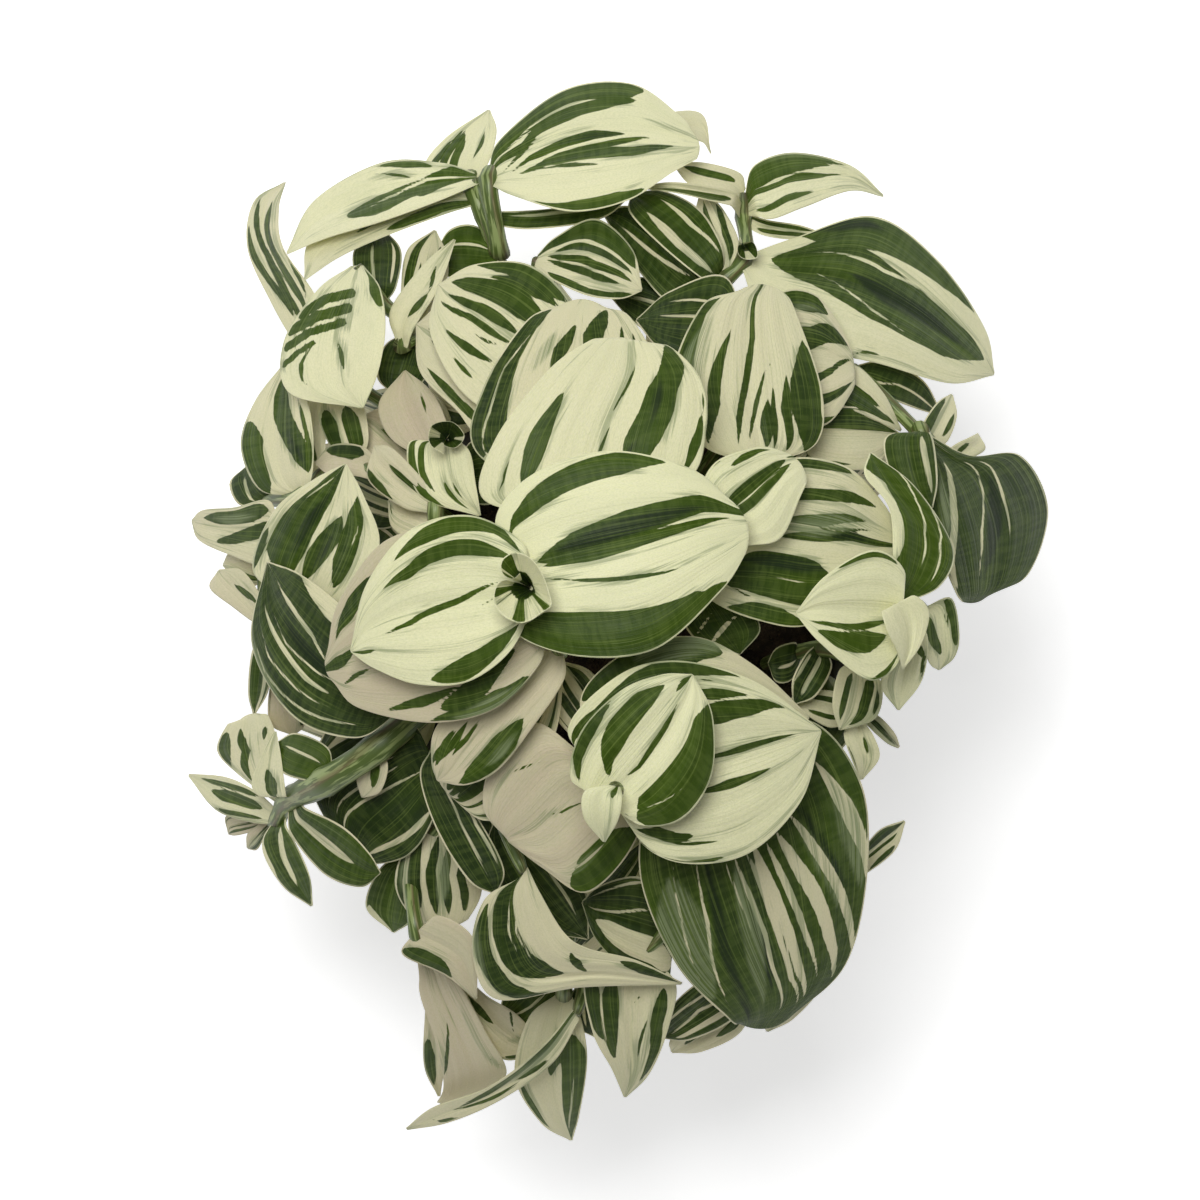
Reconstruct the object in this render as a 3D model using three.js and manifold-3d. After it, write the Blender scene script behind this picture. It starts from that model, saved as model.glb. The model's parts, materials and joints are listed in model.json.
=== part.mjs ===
// A potted tradescantia: nursery pot, soil and leafy stems that mound over the rim.
// Millimetres, +Z up, origin at the middle of the pot's flat base.
import * as THREE from "three";
import { mergeVertices } from "three/addons/utils/BufferGeometryUtils.js";
import Module from "manifold-3d";

const wasm = await Module();
wasm.setup();

// Pot
const POT_HEIGHT = 110;
const POT_TOP_RADIUS = 57.5;
const POT_BASE_RADIUS = 43;
const RIM_RADIUS = 60;
const RIM_BAND = 13;
const WALL = 2;
const FLOOR = 4;
const FOOT_WIDTH = 6;
const BASE_DISC_RADIUS = 14;
const RECESS = 2;
const DRAIN_RADIUS = 3.5;
const DRAIN_COUNT = 6;
const DRAIN_RING = 26;
const FIT_GAP = 0.3;

// Soil
const SOIL_TOP = 100;
const HOLE_DEPTH = 16;

// Foliage: leaves lie in layers over a dome
const DOME_RIM = 100;
const DOME_RISE = 65;
const DOME_X = 105;
const DOME_Y = 130;
const SKIRT_START = 0.75;
const SKIRT_DROP = 100;
const LAYER = 8.5;
const BLADE = 0.7;
const BROAD = 28;
const BASE_HALF = 1.6;
const TIP_HALF = 0.5;
const ARCH = 1.6;
const FOLD = 1.2;

// Stems
const STEM_RADIUS = 2.2;
const STEM_SIDES = 4;
const STEM_STEP = 16;

const potLook = new THREE.MeshStandardMaterial({ color: 0x302e2c, roughness: 0.7, metalness: 0 });
const soilLook = new THREE.MeshStandardMaterial({ color: 0x33261d, roughness: 1, metalness: 0 });
const leafLook = new THREE.MeshStandardMaterial({ color: 0x93a270, roughness: 0.45, metalness: 0 });

// ---- solids -------------------------------------------------------------------------------

// A closed geometry as a manifold-3d solid.
function solidOf(geometry) {
  const bare = geometry.clone();
  bare.deleteAttribute("normal");
  bare.deleteAttribute("uv");
  const merged = mergeVertices(bare, 1e-4);
  return new wasm.Manifold(
    new wasm.Mesh({
      numProp: 3,
      vertProperties: new Float32Array(merged.attributes.position.array),
      triVerts: new Uint32Array(merged.index.array),
    }),
  );
}

// A manifold-3d solid as a geometry.
function geometryOf(solid) {
  const mesh = solid.getMesh();
  const geometry = new THREE.BufferGeometry();
  geometry.setAttribute("position", new THREE.BufferAttribute(mesh.vertProperties, 3));
  geometry.setIndex(new THREE.BufferAttribute(mesh.triVerts, 1));
  geometry.computeVertexNormals();
  return geometry;
}

// The largest body of a solid, with its sealed hollows filled.
function mainBody(solid) {
  const bodies = solid.decompose();
  return bodies.reduce((best, body) => (body.volume() > best.volume() ? body : best));
}

// ---- leaves -------------------------------------------------------------------------------

// Height of the foliage dome over a plan point.
function dome(x, y) {
  const reach = Math.hypot(x / DOME_X, y / DOME_Y);
  const skirt = Math.max(0, reach - SKIRT_START);
  return DOME_RIM + DOME_RISE * (1 - reach * reach) - SKIRT_DROP * skirt * skirt;
}

// One leaf: its layer, base and tip in plan, and its two margins from base to tip.
function leaf(layer, base, tip, left, right, shape = {}) {
  return { layer, base, tip, left, right, ...shape };
}

// Where a margin lies in plan; side is 1 for the left margin and -1 for the right one.
function marginOf(one, side) {
  const along = new THREE.Vector2(one.tip[0] - one.base[0], one.tip[1] - one.base[1]).normalize();
  const across = new THREE.Vector2(-along.y, along.x).multiplyScalar(side);
  const points = [
    [one.base[0] + across.x * BASE_HALF, one.base[1] + across.y * BASE_HALF],
    ...(side > 0 ? one.left : one.right),
    [one.tip[0] + across.x * TIP_HALF, one.tip[1] + across.y * TIP_HALF],
  ];
  const route = points.map(([x, y]) => new THREE.Vector3(x, y, 0));
  return new THREE.CatmullRomCurve3(route, false, "catmullrom", 0.5);
}

// A point of the leaf: u runs from base to tip, v from the right margin (-1) to the left (1).
function leafPoint(one, margins, u, v) {
  const point = margins[0].getPoint(u).lerp(margins[1].getPoint(u), (1 - v) / 2);
  const middle = Math.sin(Math.PI * u);
  const past = Math.max(0, u - 0.5) * 2;
  const fall = (one.droop ?? 0) * past * past + (one.sag ?? 0) * u * u;
  const level = one.layer * LAYER + (one.arch ?? ARCH) * middle;
  const across = ((one.fold ?? FOLD) * Math.abs(v) + (one.bank ?? 0) * v) * middle;
  point.z = dome(point.x, point.y) + level + across - fall;
  return point;
}

function leafSpan(one) {
  const rows = one.left.map((p, i) => Math.hypot(p[0] - one.right[i][0], p[1] - one.right[i][1]));
  return Math.max(...rows);
}

// A thin solid on both sides of a sheet, with the same triangles above and below.
function thicken(rows, columns, pointAt) {
  const sheet = new THREE.PlaneGeometry(1, 1, columns, rows);
  const place = sheet.attributes.position;
  for (let i = 0; i < place.count; i += 1) {
    const v = 1 - (2 * (i % (columns + 1))) / columns;
    const u = Math.floor(i / (columns + 1)) / rows;
    const point = pointAt(u, v);
    place.setXYZ(i, point.x, point.y, point.z);
  }
  sheet.computeVertexNormals();
  const normal = sheet.attributes.normal;
  const positions = [];
  for (const side of [1, -1]) {
    for (let i = 0; i < place.count; i += 1) {
      const shift = (side * BLADE) / 2;
      positions.push(place.getX(i) + normal.getX(i) * shift);
      positions.push(place.getY(i) + normal.getY(i) * shift);
      positions.push(place.getZ(i) + normal.getZ(i) * shift);
    }
  }
  const top = Array.from(sheet.index.array);
  const faces = [...top];
  for (let i = 0; i < top.length; i += 3) {
    faces.push(top[i] + place.count, top[i + 2] + place.count, top[i + 1] + place.count);
  }
  const edge = [];
  for (let i = 0; i < columns; i += 1) edge.push(i);
  for (let j = 0; j < rows; j += 1) edge.push(j * (columns + 1) + columns);
  for (let i = columns; i > 0; i -= 1) edge.push(rows * (columns + 1) + i);
  for (let j = rows; j > 0; j -= 1) edge.push(j * (columns + 1));
  edge.forEach((from, i) => {
    const to = edge[(i + 1) % edge.length];
    faces.push(from, to, to + place.count, from, to + place.count, from + place.count);
  });
  const geometry = new THREE.BufferGeometry();
  geometry.setAttribute("position", new THREE.Float32BufferAttribute(positions, 3));
  geometry.setIndex(faces);
  return geometry;
}

// A blade whose first row lies inside the stem, so that the leaf sheathes it.
function sheathed(rows, columns, heart, pointAt) {
  return thicken(rows, columns, (u, v) => {
    const point = pointAt(u, v);
    return u > 0 ? point : point.sub(pointAt(0, 0)).clampLength(0, STEM_RADIUS / 2).add(heart);
  });
}

function leafGeometry(one, heart) {
  const margins = [marginOf(one, 1), marginOf(one, -1)];
  const broad = leafSpan(one) > BROAD;
  return sheathed(broad ? 5 : 4, broad ? 4 : 2, heart, (u, v) => leafPoint(one, margins, u, v));
}

// A young leaf still rolled into a cup: its rim in plan, and how far the rim stands over its foot.
function cup(layer, base, rim, rise, lean = 0) {
  return { layer, base, rim, rise, lean };
}

function cupGeometry(one, heart) {
  const route = one.rim.map(([x, y]) => new THREE.Vector3(x, y, 0));
  const rim = new THREE.CatmullRomCurve3(route, false, "catmullrom", 0.5);
  const foot = dome(...one.base) + one.layer * LAYER;
  return sheathed(3, (one.rim.length - 1) * 2, heart, (u, v) => {
    const edge = rim.getPoint((1 - v) / 2);
    const spread = 0.2 + 0.8 * Math.pow(u, 0.7);
    const x = one.base[0] + (edge.x - one.base[0]) * spread;
    const y = one.base[1] + (edge.y - one.base[1]) * spread;
    return new THREE.Vector3(x, y, foot + one.rise * u + one.lean * u * v);
  });
}

// ---- leafy stems --------------------------------------------------------------------------

// Each has its root in the soil, the way of its stem, and its leaves in order along the stem.
const SHOOTS = {
  crown_left: {
    root: [-10, -6],
    way: [[-13, -8, 150]],
    leaves: [
      leaf(1.9, [-15, -10], [-43, -45.5], [[-16, -30], [-25, -48], [-34, -52]], [[-30, -22], [-40, -33], [-45, -41]]),
      leaf(3.4, [-15, -9], [-45.5, -42], [[-14, -17], [-22, -29], [-30, -39], [-38, -43]],
        [[-25, -12], [-38, -20], [-46, -29], [-47, -37]]),
      leaf(4.2, [-19, -3], [-73.5, -14], [[-20, -13], [-31, -24], [-47, -27.5], [-65, -24]],
        [[-26, 9], [-41, 20], [-58, 18], [-70, 3]]),
      leaf(5, [-22, 6], [31.5, 22], [[-31, 22], [-22, 34], [-3, 40], [17, 36]], [[-26, -5], [-10, -11], [9, -9], [25, 5]]),
      leaf(5.4, [-23, 7], [-67, -9.7], [[-26, -8], [-37, -17], [-50, -18], [-61, -14]],
        [[-24, 17], [-37, 24], [-52, 20.5], [-63, 7]]),
      cup(5.7, [-24, 7], [[-27, 8.5], [-30.5, 6], [-29, 0], [-24, -2.6], [-17, 1.5], [-18.5, 9], [-23, 14.3],
        [-28.5, 14], [-29.5, 10], [-26.5, 9.5]], 9),
    ],
  },
  crown_front: {
    root: [-1, -36],
    way: [[-1, -41, 150]],
    leaves: [
      leaf(2.6, [0, -45], [-28, -57], [[5, -53], [0, -63], [-9, -70], [-19, -64]],
        [[-11, -34], [-22, -27.5], [-32, -38], [-34, -49]]),
      leaf(0.9, [-1, -37], [-16, -12], [[-10, -33], [-18, -23]], [[-2, -25], [-7, -15]]),
      leaf(3.2, [2, -43], [47, -26], [[-10, -23], [1, -10], [18, -6], [33, -13]], [[8, -46], [20, -47], [32, -42], [42, -34]]),
      leaf(4.1, [2, -44], [50, -29.5], [[-13, -30], [-1, -16], [14, -12], [33, -17]], [[5, -57], [16, -62.5], [32, -60], [45, -47]]),
      leaf(5, [-1, -44], [18, -15.5], [[-12, -42], [-10, -30], [0, -19.5], [10, -15.5]],
        [[4, -52.5], [15, -51.5], [22.5, -41], [23, -26]]),
      leaf(5.8, [-1.5, -43], [-4, -57], [[0.5, -46], [-0.5, -51.5]], [[-9, -44.5], [-9, -51]], { droop: 3 }),
    ],
  },
  front_right_large: {
    root: [22, -25],
    way: [[25, -30, 145]],
    leaves: [
      leaf(2.2, [26, -34], [37, -104.5], [[47, -27], [60, -42], [62, -64], [57, -88]], [[8, -47], [5, -66], [14, -88], [27, -102]],
        { droop: 3 }),
    ],
  },
  crown_right: {
    root: [15, 5],
    way: [[17, 7, 150]],
    leaves: [
      leaf(1.6, [19, 7], [30, -10.5], [[30, 3], [35, -4]], [[15, 0], [19, -7]]),
      leaf(2.7, [18, 9], [71, 16], [[24, 29], [40, 38], [56, 36.5], [66, 27]], [[24, 2], [34, -2], [46, -3.5], [61, 3]]),
      leaf(3.7, [21, 17], [44.5, 37.5], [[20, 30], [24, 37.5], [34, 41]], [[32, 16.5], [40, 18.5], [45, 29]]),
    ],
  },
  crown_back: {
    root: [-6, 20],
    way: [[-9, 24, 145]],
    leaves: [
      leaf(3, [-13, 27], [-9, 78], [[-36, 40], [-34, 56], [-24, 72]], [[12, 42], [11, 58], [3, 73]]),
      leaf(4, [-12, 23], [2, 68], [[-34, 28], [-31, 43], [-18, 60], [-8, 67.5]], [[16, 32], [21.5, 46], [20, 58], [12, 66.5]],
        { droop: 2 }),
    ],
  },
  back_left: {
    root: [-14, 36],
    way: [[-18, 48, 135]],
    leaves: [
      leaf(1.3, [-20, 54], [-51, 72], [[-34, 44], [-41, 50.5], [-50, 60]], [[-24, 64], [-33, 74], [-44, 77]]),
      leaf(2.1, [-19, 58], [-45.5, 82], [[-29, 49], [-40, 55.5], [-47.5, 70]], [[-12, 75], [-22, 86.5], [-36, 87]]),
    ],
  },
  back_inner: {
    root: [-4, 41],
    way: [[-12, 60, 122], [-19, 80, 126]],
    leaves: [
      leaf(1.2, [-21, 88], [5.5, 80.5], [[-16, 94], [-6, 98.5], [3, 91]], [[-17, 83], [-8, 79], [0, 78.2]]),
    ],
  },
  back_right: {
    root: [27, 22],
    way: [[32, 31, 140]],
    leaves: [
      leaf(1.9, [35, 37], [35, 82], [[20, 42], [13, 58], [20, 76]], [[49, 42], [50.5, 55], [44, 75]]),
    ],
  },
  back_right_low: {
    root: [21, 36],
    way: [[30, 50, 128]],
    leaves: [
      leaf(1.1, [31, 62], [4, 73], [[21, 60], [10, 65.5]], [[27, 83.5], [13, 80.5]]),
      leaf(1.1, [34, 62], [59, 60], [[39, 79], [49, 79.5], [57, 68]], [[40, 48], [51, 46.5], [58, 55]]),
    ],
  },
  back_right_outer: {
    root: [11, 45],
    way: [[17, 60, 121], [22, 73, 124]],
    leaves: [
      leaf(-0.9, [20, 70], [-3, 80], [[12, 68], [4, 72]], [[14, 80], [5, 84]]),
      leaf(-0.4, [23, 80], [-4, 100], [[13, 77], [5, 85], [-1, 94]], [[21, 91], [12, 98.5], [2, 102]]),
      leaf(0.4, [25, 83], [3, 105], [[19, 84.5], [10, 92], [2.5, 100]], [[25.5, 92], [20, 101], [11, 105.7]]),
      leaf(0.2, [26, 84], [20.5, 106], [[22, 91], [19, 99]], [[30, 92], [26, 101]]),
      leaf(0.4, [31, 88], [94.5, 60], [[44, 94], [64, 99.7], [80, 89], [92, 72]], [[35, 77], [51, 66], [66, 62], [83, 57.5]],
        { droop: 4 }),
      cup(0.6, [31, 92], [[30, 94], [29.5, 90], [31.5, 88.3], [34.5, 89], [33.5, 92.5], [31, 92.5]], 7),
      leaf(0.1, [31, 99], [51, 95], [[37, 98.5], [45, 97.3]], [[36, 94.5], [44, 93.5]]),
      leaf(1, [31, 104], [66.5, 105], [[34, 112.5], [44, 115.7], [58, 112.7]], [[37, 98.5], [46, 101.5], [58, 106]], { droop: 3 }),
      leaf(1.1, [30.5, 103], [5, 106.5], [[25, 102.5], [14, 105]], [[27, 106], [14, 107.8]], { fold: 3 }),
      leaf(0.4, [31, 105], [13.5, 112.5], [[26, 105.5], [18, 107]], [[30, 110.5], [21, 113]]),
    ],
  },
  right_back: {
    root: [34, 28],
    way: [[40, 38, 134]],
    leaves: [
      leaf(0.5, [44, 45], [70, 44.7], [[50, 50.5], [61, 51]], [[50, 37], [63, 36]]),
      leaf(0.5, [51, 57], [70.5, 45.5], [[58.5, 62], [66, 55]], [[55, 52], [63, 48.5]]),
      leaf(-0.3, [58, 60.5], [81, 49.5], [[66, 62.8], [76, 58.5]], [[63, 55.5], [73, 51.5]]),
      leaf(1.4, [76, 44], [90, 2.5], [[88, 39.3], [101, 39.3], [108, 26], [103, 9.5]], [[77, 38], [77.5, 27], [80, 15], [84, 5]],
        { droop: 4 }),
      leaf(2.2, [75, 46], [78, 26], [[78.5, 43], [79.5, 33]], [[70, 45], [72, 33]]),
      leaf(0.6, [77, 43], [83.5, 54.7], [[75.8, 47], [79.5, 52.5]], [[82, 42.5], [84.7, 49]]),
      leaf(0.3, [82, 38], [90.3, 44.8], [[84, 42], [88, 44]], [[88, 38.5], [92, 41]]),
    ],
  },
  right_rosette: {
    root: [44, 2],
    way: [[54, 1, 120], [67, 0, 130]],
    leaves: [
      leaf(1.9, [75, 1], [80, -14.5], [[83, 3.5], [85, -5], [84, -11]], [[75, -3], [75.5, -8], [77.5, -13]]),
      leaf(2.5, [73, -2], [69.5, -24.5], [[77, -7], [75.5, -17]], [[68, -10], [65, -18]]),
      leaf(3.1, [69, 2], [62.5, 39.7], [[68, 14], [67, 26], [61, 34]], [[80, 6.5], [83.3, 16], [74, 31]]),
      leaf(3.9, [68, -1], [43.7, -0.3], [[69.5, -12], [62, -17], [50, -8]], [[71, 10], [63, 15.5], [51, 9]], { fold: 2.4 }),
      leaf(4.6, [67.5, 0], [70.5, -14], [[73, 4.2], [77, 0], [75, -8]], [[65, 0], [66.5, -5], [69, -10]], { fold: 3 }),
    ],
  },
  right_front: {
    root: [37, -13],
    way: [[43, -10, 132]],
    leaves: [
      leaf(-0.8, [45, -10], [37, -13], [[43, -17], [39, -17.5]], [[43.5, -7.5], [39, -9]]),
      leaf(0.2, [50, -9], [43.5, -23], [[53, -14], [49, -21]], [[46, -11], [43, -17]]),
      leaf(0.9, [59, -13], [55, -29.5], [[65.5, -18], [64, -26.5]], [[54.5, -15], [53, -23]]),
      leaf(-0.3, [59, -25], [44, -22.5], [[53, -29], [47, -26]], [[56, -20.5], [49, -19.5]]),
      leaf(-0.1, [62, -26], [70, -34], [[66, -27], [69, -30.5]], [[63.5, -30], [67, -33]]),
      leaf(-1.2, [52, -18], [44, -35], [[56, -24], [51, -33]], [[44, -20], [41, -28]]),
      leaf(0.3, [59, -27], [60.5, -42], [[63.5, -31], [65, -36.5]], [[56, -31], [58, -37]]),
    ],
  },
  front: {
    root: [8, -44],
    way: [[8, -62, 121], [11, -74, 128]],
    leaves: [
      leaf(0.6, [12, -79], [-9.5, -72.5], [[9, -89], [1, -86], [-6, -79.5]], [[14, -69], [4, -66], [-5, -68.3]]),
      leaf(0.7, [5, -86], [1.3, -122.2], [[14, -93], [12, -105], [7.5, -116]], [[-8.5, -90], [-7, -105], [-2, -115]], { droop: 3 }),
    ],
  },
  front_right: {
    root: [19, -42],
    way: [[24, -60, 119], [28, -80, 117]],
    leaves: [
      leaf(-0.1, [29, -90], [10.5, -107], [[30, -101], [18, -107.5]], [[18, -94], [11.5, -101]]),
      leaf(-0.7, [32, -92], [13, -110.8], [[31, -105], [21, -110.6]], [[21, -97], [13, -107]]),
      leaf(0.5, [42, -88], [37, -105.5], [[50.5, -93.5], [44, -102]], [[38, -94], [36, -102]]),
    ],
  },
  right_corner: {
    root: [29, -29],
    way: [[38, -40, 118], [48, -53, 121]],
    leaves: [leaf(0.1, [58, -65], [71.5, -52.5], [[61.5, -58.5], [65.5, -54.3]], [[61.5, -65.8], [69, -60]])],
  },
  front_inner: {
    root: [-20, -34],
    way: [[-25, -44, 130]],
    leaves: [
      leaf(-0.1, [-30, -50], [-8, -82], [[-22, -55], [-9, -69]], [[-33, -61], [-24, -78]]),
      leaf(1.5, [-24, -65], [15.5, -93], [[-20, -70], [-14, -80], [-8, -84], [4, -87]],
        [[-34, -72], [-37, -85], [-31, -97], [-10, -94]]),
    ],
  },
  front_left: {
    root: [-29, -35],
    way: [[-38, -46, 124]],
    leaves: [
      leaf(-0.4, [-45, -53], [-46, -78], [[-39, -55], [-34.5, -68]], [[-53, -57.5], [-56.5, -68]]),
      leaf(-1.1, [-52, -62], [-57, -80.7], [[-51, -68], [-52, -77]], [[-60, -64], [-64, -74]]),
      leaf(1.2, [-51, -80], [-36, -97], [[-45, -76], [-36.5, -82]], [[-54.5, -86], [-44, -91]]),
      leaf(-0.6, [-48, -86], [-45.7, -122.5], [[-44, -98], [-44, -112]], [[-49, -98], [-49.5, -114]]),
      leaf(-0.1, [-47, -87], [-40, -125], [[-41, -92], [-33.5, -106], [-28.5, -116]], [[-50.5, -95], [-46.5, -108], [-44.5, -119]],
        { droop: 3 }),
      leaf(-0.7, [-42, -90], [-19, -110.5], [[-34, -96], [-25.5, -101.5]], [[-39, -101], [-30, -112.5]]),
    ],
  },
  front_outer: {
    root: [-7, -46],
    way: [[-10, -64, 121], [-13, -84, 116]],
    leaves: [
      leaf(-0.4, [-14, -96], [-12.3, -133.7], [[-9.5, -103], [-8.2, -113], [-10, -126]], [[-23, -102], [-26.5, -117], [-20, -129]],
        { droop: 4 }),
      leaf(-0.9, [-13, -88], [-30, -103], [[-16, -97], [-23, -104]], [[-22, -89], [-29, -96]]),
      leaf(-0.8, [-9, -93], [-6, -107], [[-3, -97], [-3, -104]], [[-12.5, -97], [-11, -104]]),
      leaf(0.5, [-11, -101], [-54, -131], [[-17, -113.5], [-30, -123], [-43, -129]], [[-20, -109.5], [-33, -119.5], [-47, -125]]),
    ],
  },
  left_front_dark: {
    root: [-34, -24],
    way: [[-41, -31, 136]],
    leaves: [
      leaf(0.1, [-46, -37], [-67, -64], [[-46, -50], [-53, -61]], [[-60, -32.5], [-75, -46]]),
      leaf(1.2, [-46, -34], [-31, -70.5], [[-43, -41], [-35, -52], [-29, -64]], [[-50, -41], [-46, -54], [-38, -67]]),
    ],
  },
  left_trailing: {
    root: [-41, -15],
    way: [[-50, -25, 140], [-57, -31, 150], [-65, -37, 148]],
    leaves: [
      leaf(0.9, [-61, -33], [-64.5, -46.5], [[-58, -39], [-60, -45]], [[-64, -34], [-66, -41]]),
      leaf(1.6, [-73, -42], [-86.5, -33], [[-78, -42.5], [-85, -40]], [[-73, -34], [-81, -30.3]]),
      leaf(0.7, [-84, -48], [-94, -26], [[-96, -41], [-101.5, -35], [-99, -28.5]], [[-86, -42], [-86, -33], [-88, -26.5]]),
      leaf(1.6, [-85, -49], [-86.5, -30], [[-92.5, -44], [-90, -36]], [[-84, -44], [-85, -36]]),
      leaf(1.2, [-84, -49], [-60, -65.5], [[-77, -50], [-69, -54], [-63, -60]], [[-82, -57], [-74, -66], [-65, -69]]),
      leaf(0.5, [-86, -52], [-109, -41.2], [[-93, -53], [-102, -50]], [[-91, -45.5], [-99, -41.7]]),
      leaf(0.8, [-87, -52], [-77.5, -74], [[-82, -57], [-78, -66]], [[-90, -60], [-85, -69]]),
      leaf(-0.2, [-88, -53], [-94, -59.7], [[-89.5, -57], [-91.5, -60]], [[-91, -53.5], [-94, -56]]),
      leaf(-0.3, [-89, -52], [-99, -56], [[-93, -55.5], [-97, -56.5]], [[-94, -50.5], [-99.5, -51.5]]),
    ],
  },
  left_front: {
    root: [-33, -10],
    way: [[-43, -16, 140]],
    leaves: [
      leaf(2.4, [-54, -24], [-88.5, 12.5], [[-66, -31.5], [-82, -26], [-92.3, -8]], [[-58, -10], [-70, 2], [-80, 9.5]]),
    ],
  },
  left_outer: {
    root: [-46, -3],
    way: [[-57, -2, 120], [-76, -6, 118]],
    leaves: [
      leaf(0.1, [-84, -15], [-82, -31], [[-80, -21], [-79, -28]], [[-88, -19], [-88, -28]]),
      leaf(0.5, [-88, -5], [-92, -25.7], [[-87, -12], [-88.3, -20]], [[-92.5, -10], [-93.5, -20]]),
      leaf(1.4, [-89, -3], [-101, 10.5], [[-97, 1], [-103.2, 6]], [[-90, 4], [-95, 10.5]]),
      leaf(0.4, [-89, 9], [-100, 12], [[-93, 6.5], [-98, 9.5]], [[-92, 14], [-98, 15]]),
      leaf(1.2, [-86, 19], [-108, 23], [[-89, 11.5], [-98, 14.3], [-106, 18]], [[-88, 28], [-97, 26.3], [-105, 25.7]]),
    ],
  },
  left: {
    root: [-43, 9],
    way: [[-58, 7, 122], [-71, 3, 128]],
    leaves: [
      leaf(1.8, [-78, 2], [-68.6, 37], [[-92, 10], [-87, 25], [-77, 33]], [[-66, 4], [-60, 17], [-64, 29]]),
    ],
  },
  left_back: {
    root: [-40, 21],
    way: [[-51, 29, 130]],
    leaves: [
      leaf(0.2, [-60, 34], [-76.5, 37.5], [[-66, 34], [-73, 34.5]], [[-64, 41.3], [-72, 42]]),
      leaf(-0.3, [-66, 38], [-72, 57], [[-73, 42], [-76, 51]], [[-63, 44], [-65, 53]]),
      leaf(-0.9, [-75, 34], [-78, 57], [[-80, 39], [-83, 50]], [[-74, 42], [-73, 51]]),
      leaf(0.4, [-80, 29], [-84, 63], [[-91, 31], [-95.5, 42], [-92, 53]], [[-77, 36], [-77, 45], [-79, 55]]),
      leaf(-0.6, [-89, 28], [-94.5, 36.5], [[-96, 27], [-98.5, 32.5]], [[-89, 32], [-91, 35]]),
    ],
  },
  left_bud: {
    root: [-31, 17],
    way: [[-40, 20, 136]],
    leaves: [
      leaf(0.3, [-46, 21], [-58, 28], [[-51, 18], [-57, 21]], [[-48, 27], [-55, 30]]),
      leaf(1, [-46, 26], [-61.5, 41.5], [[-54, 26], [-63, 33]], [[-50, 34], [-57, 41]]),
      leaf(-0.9, [-46, 32], [-65.5, 49], [[-57, 36], [-65, 42]], [[-50, 43], [-58, 51]]),
      leaf(-0.6, [-42, 33], [-27, 36], [[-37, 43], [-30, 43]], [[-36, 27], [-30, 28]]),
      leaf(0.2, [-45, 38], [-54, 60.5], [[-57, 43], [-60.5, 52]], [[-43, 46], [-47, 55]]),
      leaf(0.9, [-43, 43], [-35, 24], [[-37.5, 40], [-36, 32]], [[-53, 42], [-50, 29]]),
      cup(1, [-43, 43.5], [[-42.5, 44.5], [-44, 41.8], [-41, 41], [-38.8, 44], [-42, 47.5], [-47, 46.5], [-47.5, 42],
        [-44, 39.3]], 9),
    ],
  },
  back_left_curled: {
    root: [-24, 40],
    way: [[-36, 54, 120], [-50, 66, 124]],
    leaves: [
      leaf(0.6, [-55, 67], [-41.5, 93.5], [[-57.5, 76], [-49, 87.5]], [[-51, 72], [-45, 82]]),
      leaf(-0.4, [-51, 70], [-56, 54], [[-46, 66], [-49, 58]], [[-59, 67], [-61, 59]]),
      leaf(-0.3, [-53, 73], [-46.5, 96], [[-55, 81], [-53.5, 91]], [[-45, 78], [-43, 88]]),
      leaf(0.1, [-60, 78], [-60.5, 97], [[-66, 83], [-67, 91]], [[-56, 82], [-55, 91]]),
      leaf(1.6, [-66, 87], [-64.5, 51], [[-60, 81], [-58.7, 71], [-60.5, 60]], [[-76, 81], [-84.5, 68], [-83, 55]]),
    ],
  },
  back_left_narrow: {
    root: [-30, 28],
    way: [[-41, 39, 116], [-54, 49, 118], [-68, 58, 114]],
    leaves: [leaf(0.3, [-80, 67], [-85, 109], [[-88, 78], [-94.3, 92], [-93, 104]], [[-76, 78], [-85, 92], [-86.3, 102]])],
  },
  back: {
    root: [-14, 42],
    way: [[-20, 56, 118], [-27, 78, 119], [-33, 96, 120]],
    leaves: [
      leaf(0.1, [-34, 99], [3, 105], [[-20, 101], [-5, 103]], [[-22, 96], [-5, 98.5]]),
      leaf(0.8, [-36, 104], [-79.5, 83.8], [[-45, 99.5], [-60, 94], [-71, 89]], [[-48, 107], [-64, 102], [-78, 94]]),
      leaf(0.5, [-38, 109], [-33, 126.7], [[-49, 112], [-44, 119.5]], [[-33, 113], [-31, 121]]),
      leaf(0, [-30, 110], [23, 115.5], [[-14, 117], [5, 124], [20, 126]], [[-14, 109], [5, 113], [19, 118.5]]),
      leaf(1.9, [-33, 109], [20, 117.3], [[-30, 119], [-14, 131.5], [3, 133], [15, 125]], [[-26, 104], [-12, 100.2], [2, 103], [13, 110]]),
      leaf(-0.7, [-30, 89], [-47, 88], [[-36, 83], [-43, 84]], [[-36, 97], [-43, 96]]),
      leaf(1.4, [-36, 109], [-84, 90.5], [[-46, 103], [-60, 98], [-74, 94]], [[-45, 113], [-60, 113.3], [-77, 104]], { fold: 2 }),
    ],
  },
};

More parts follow.
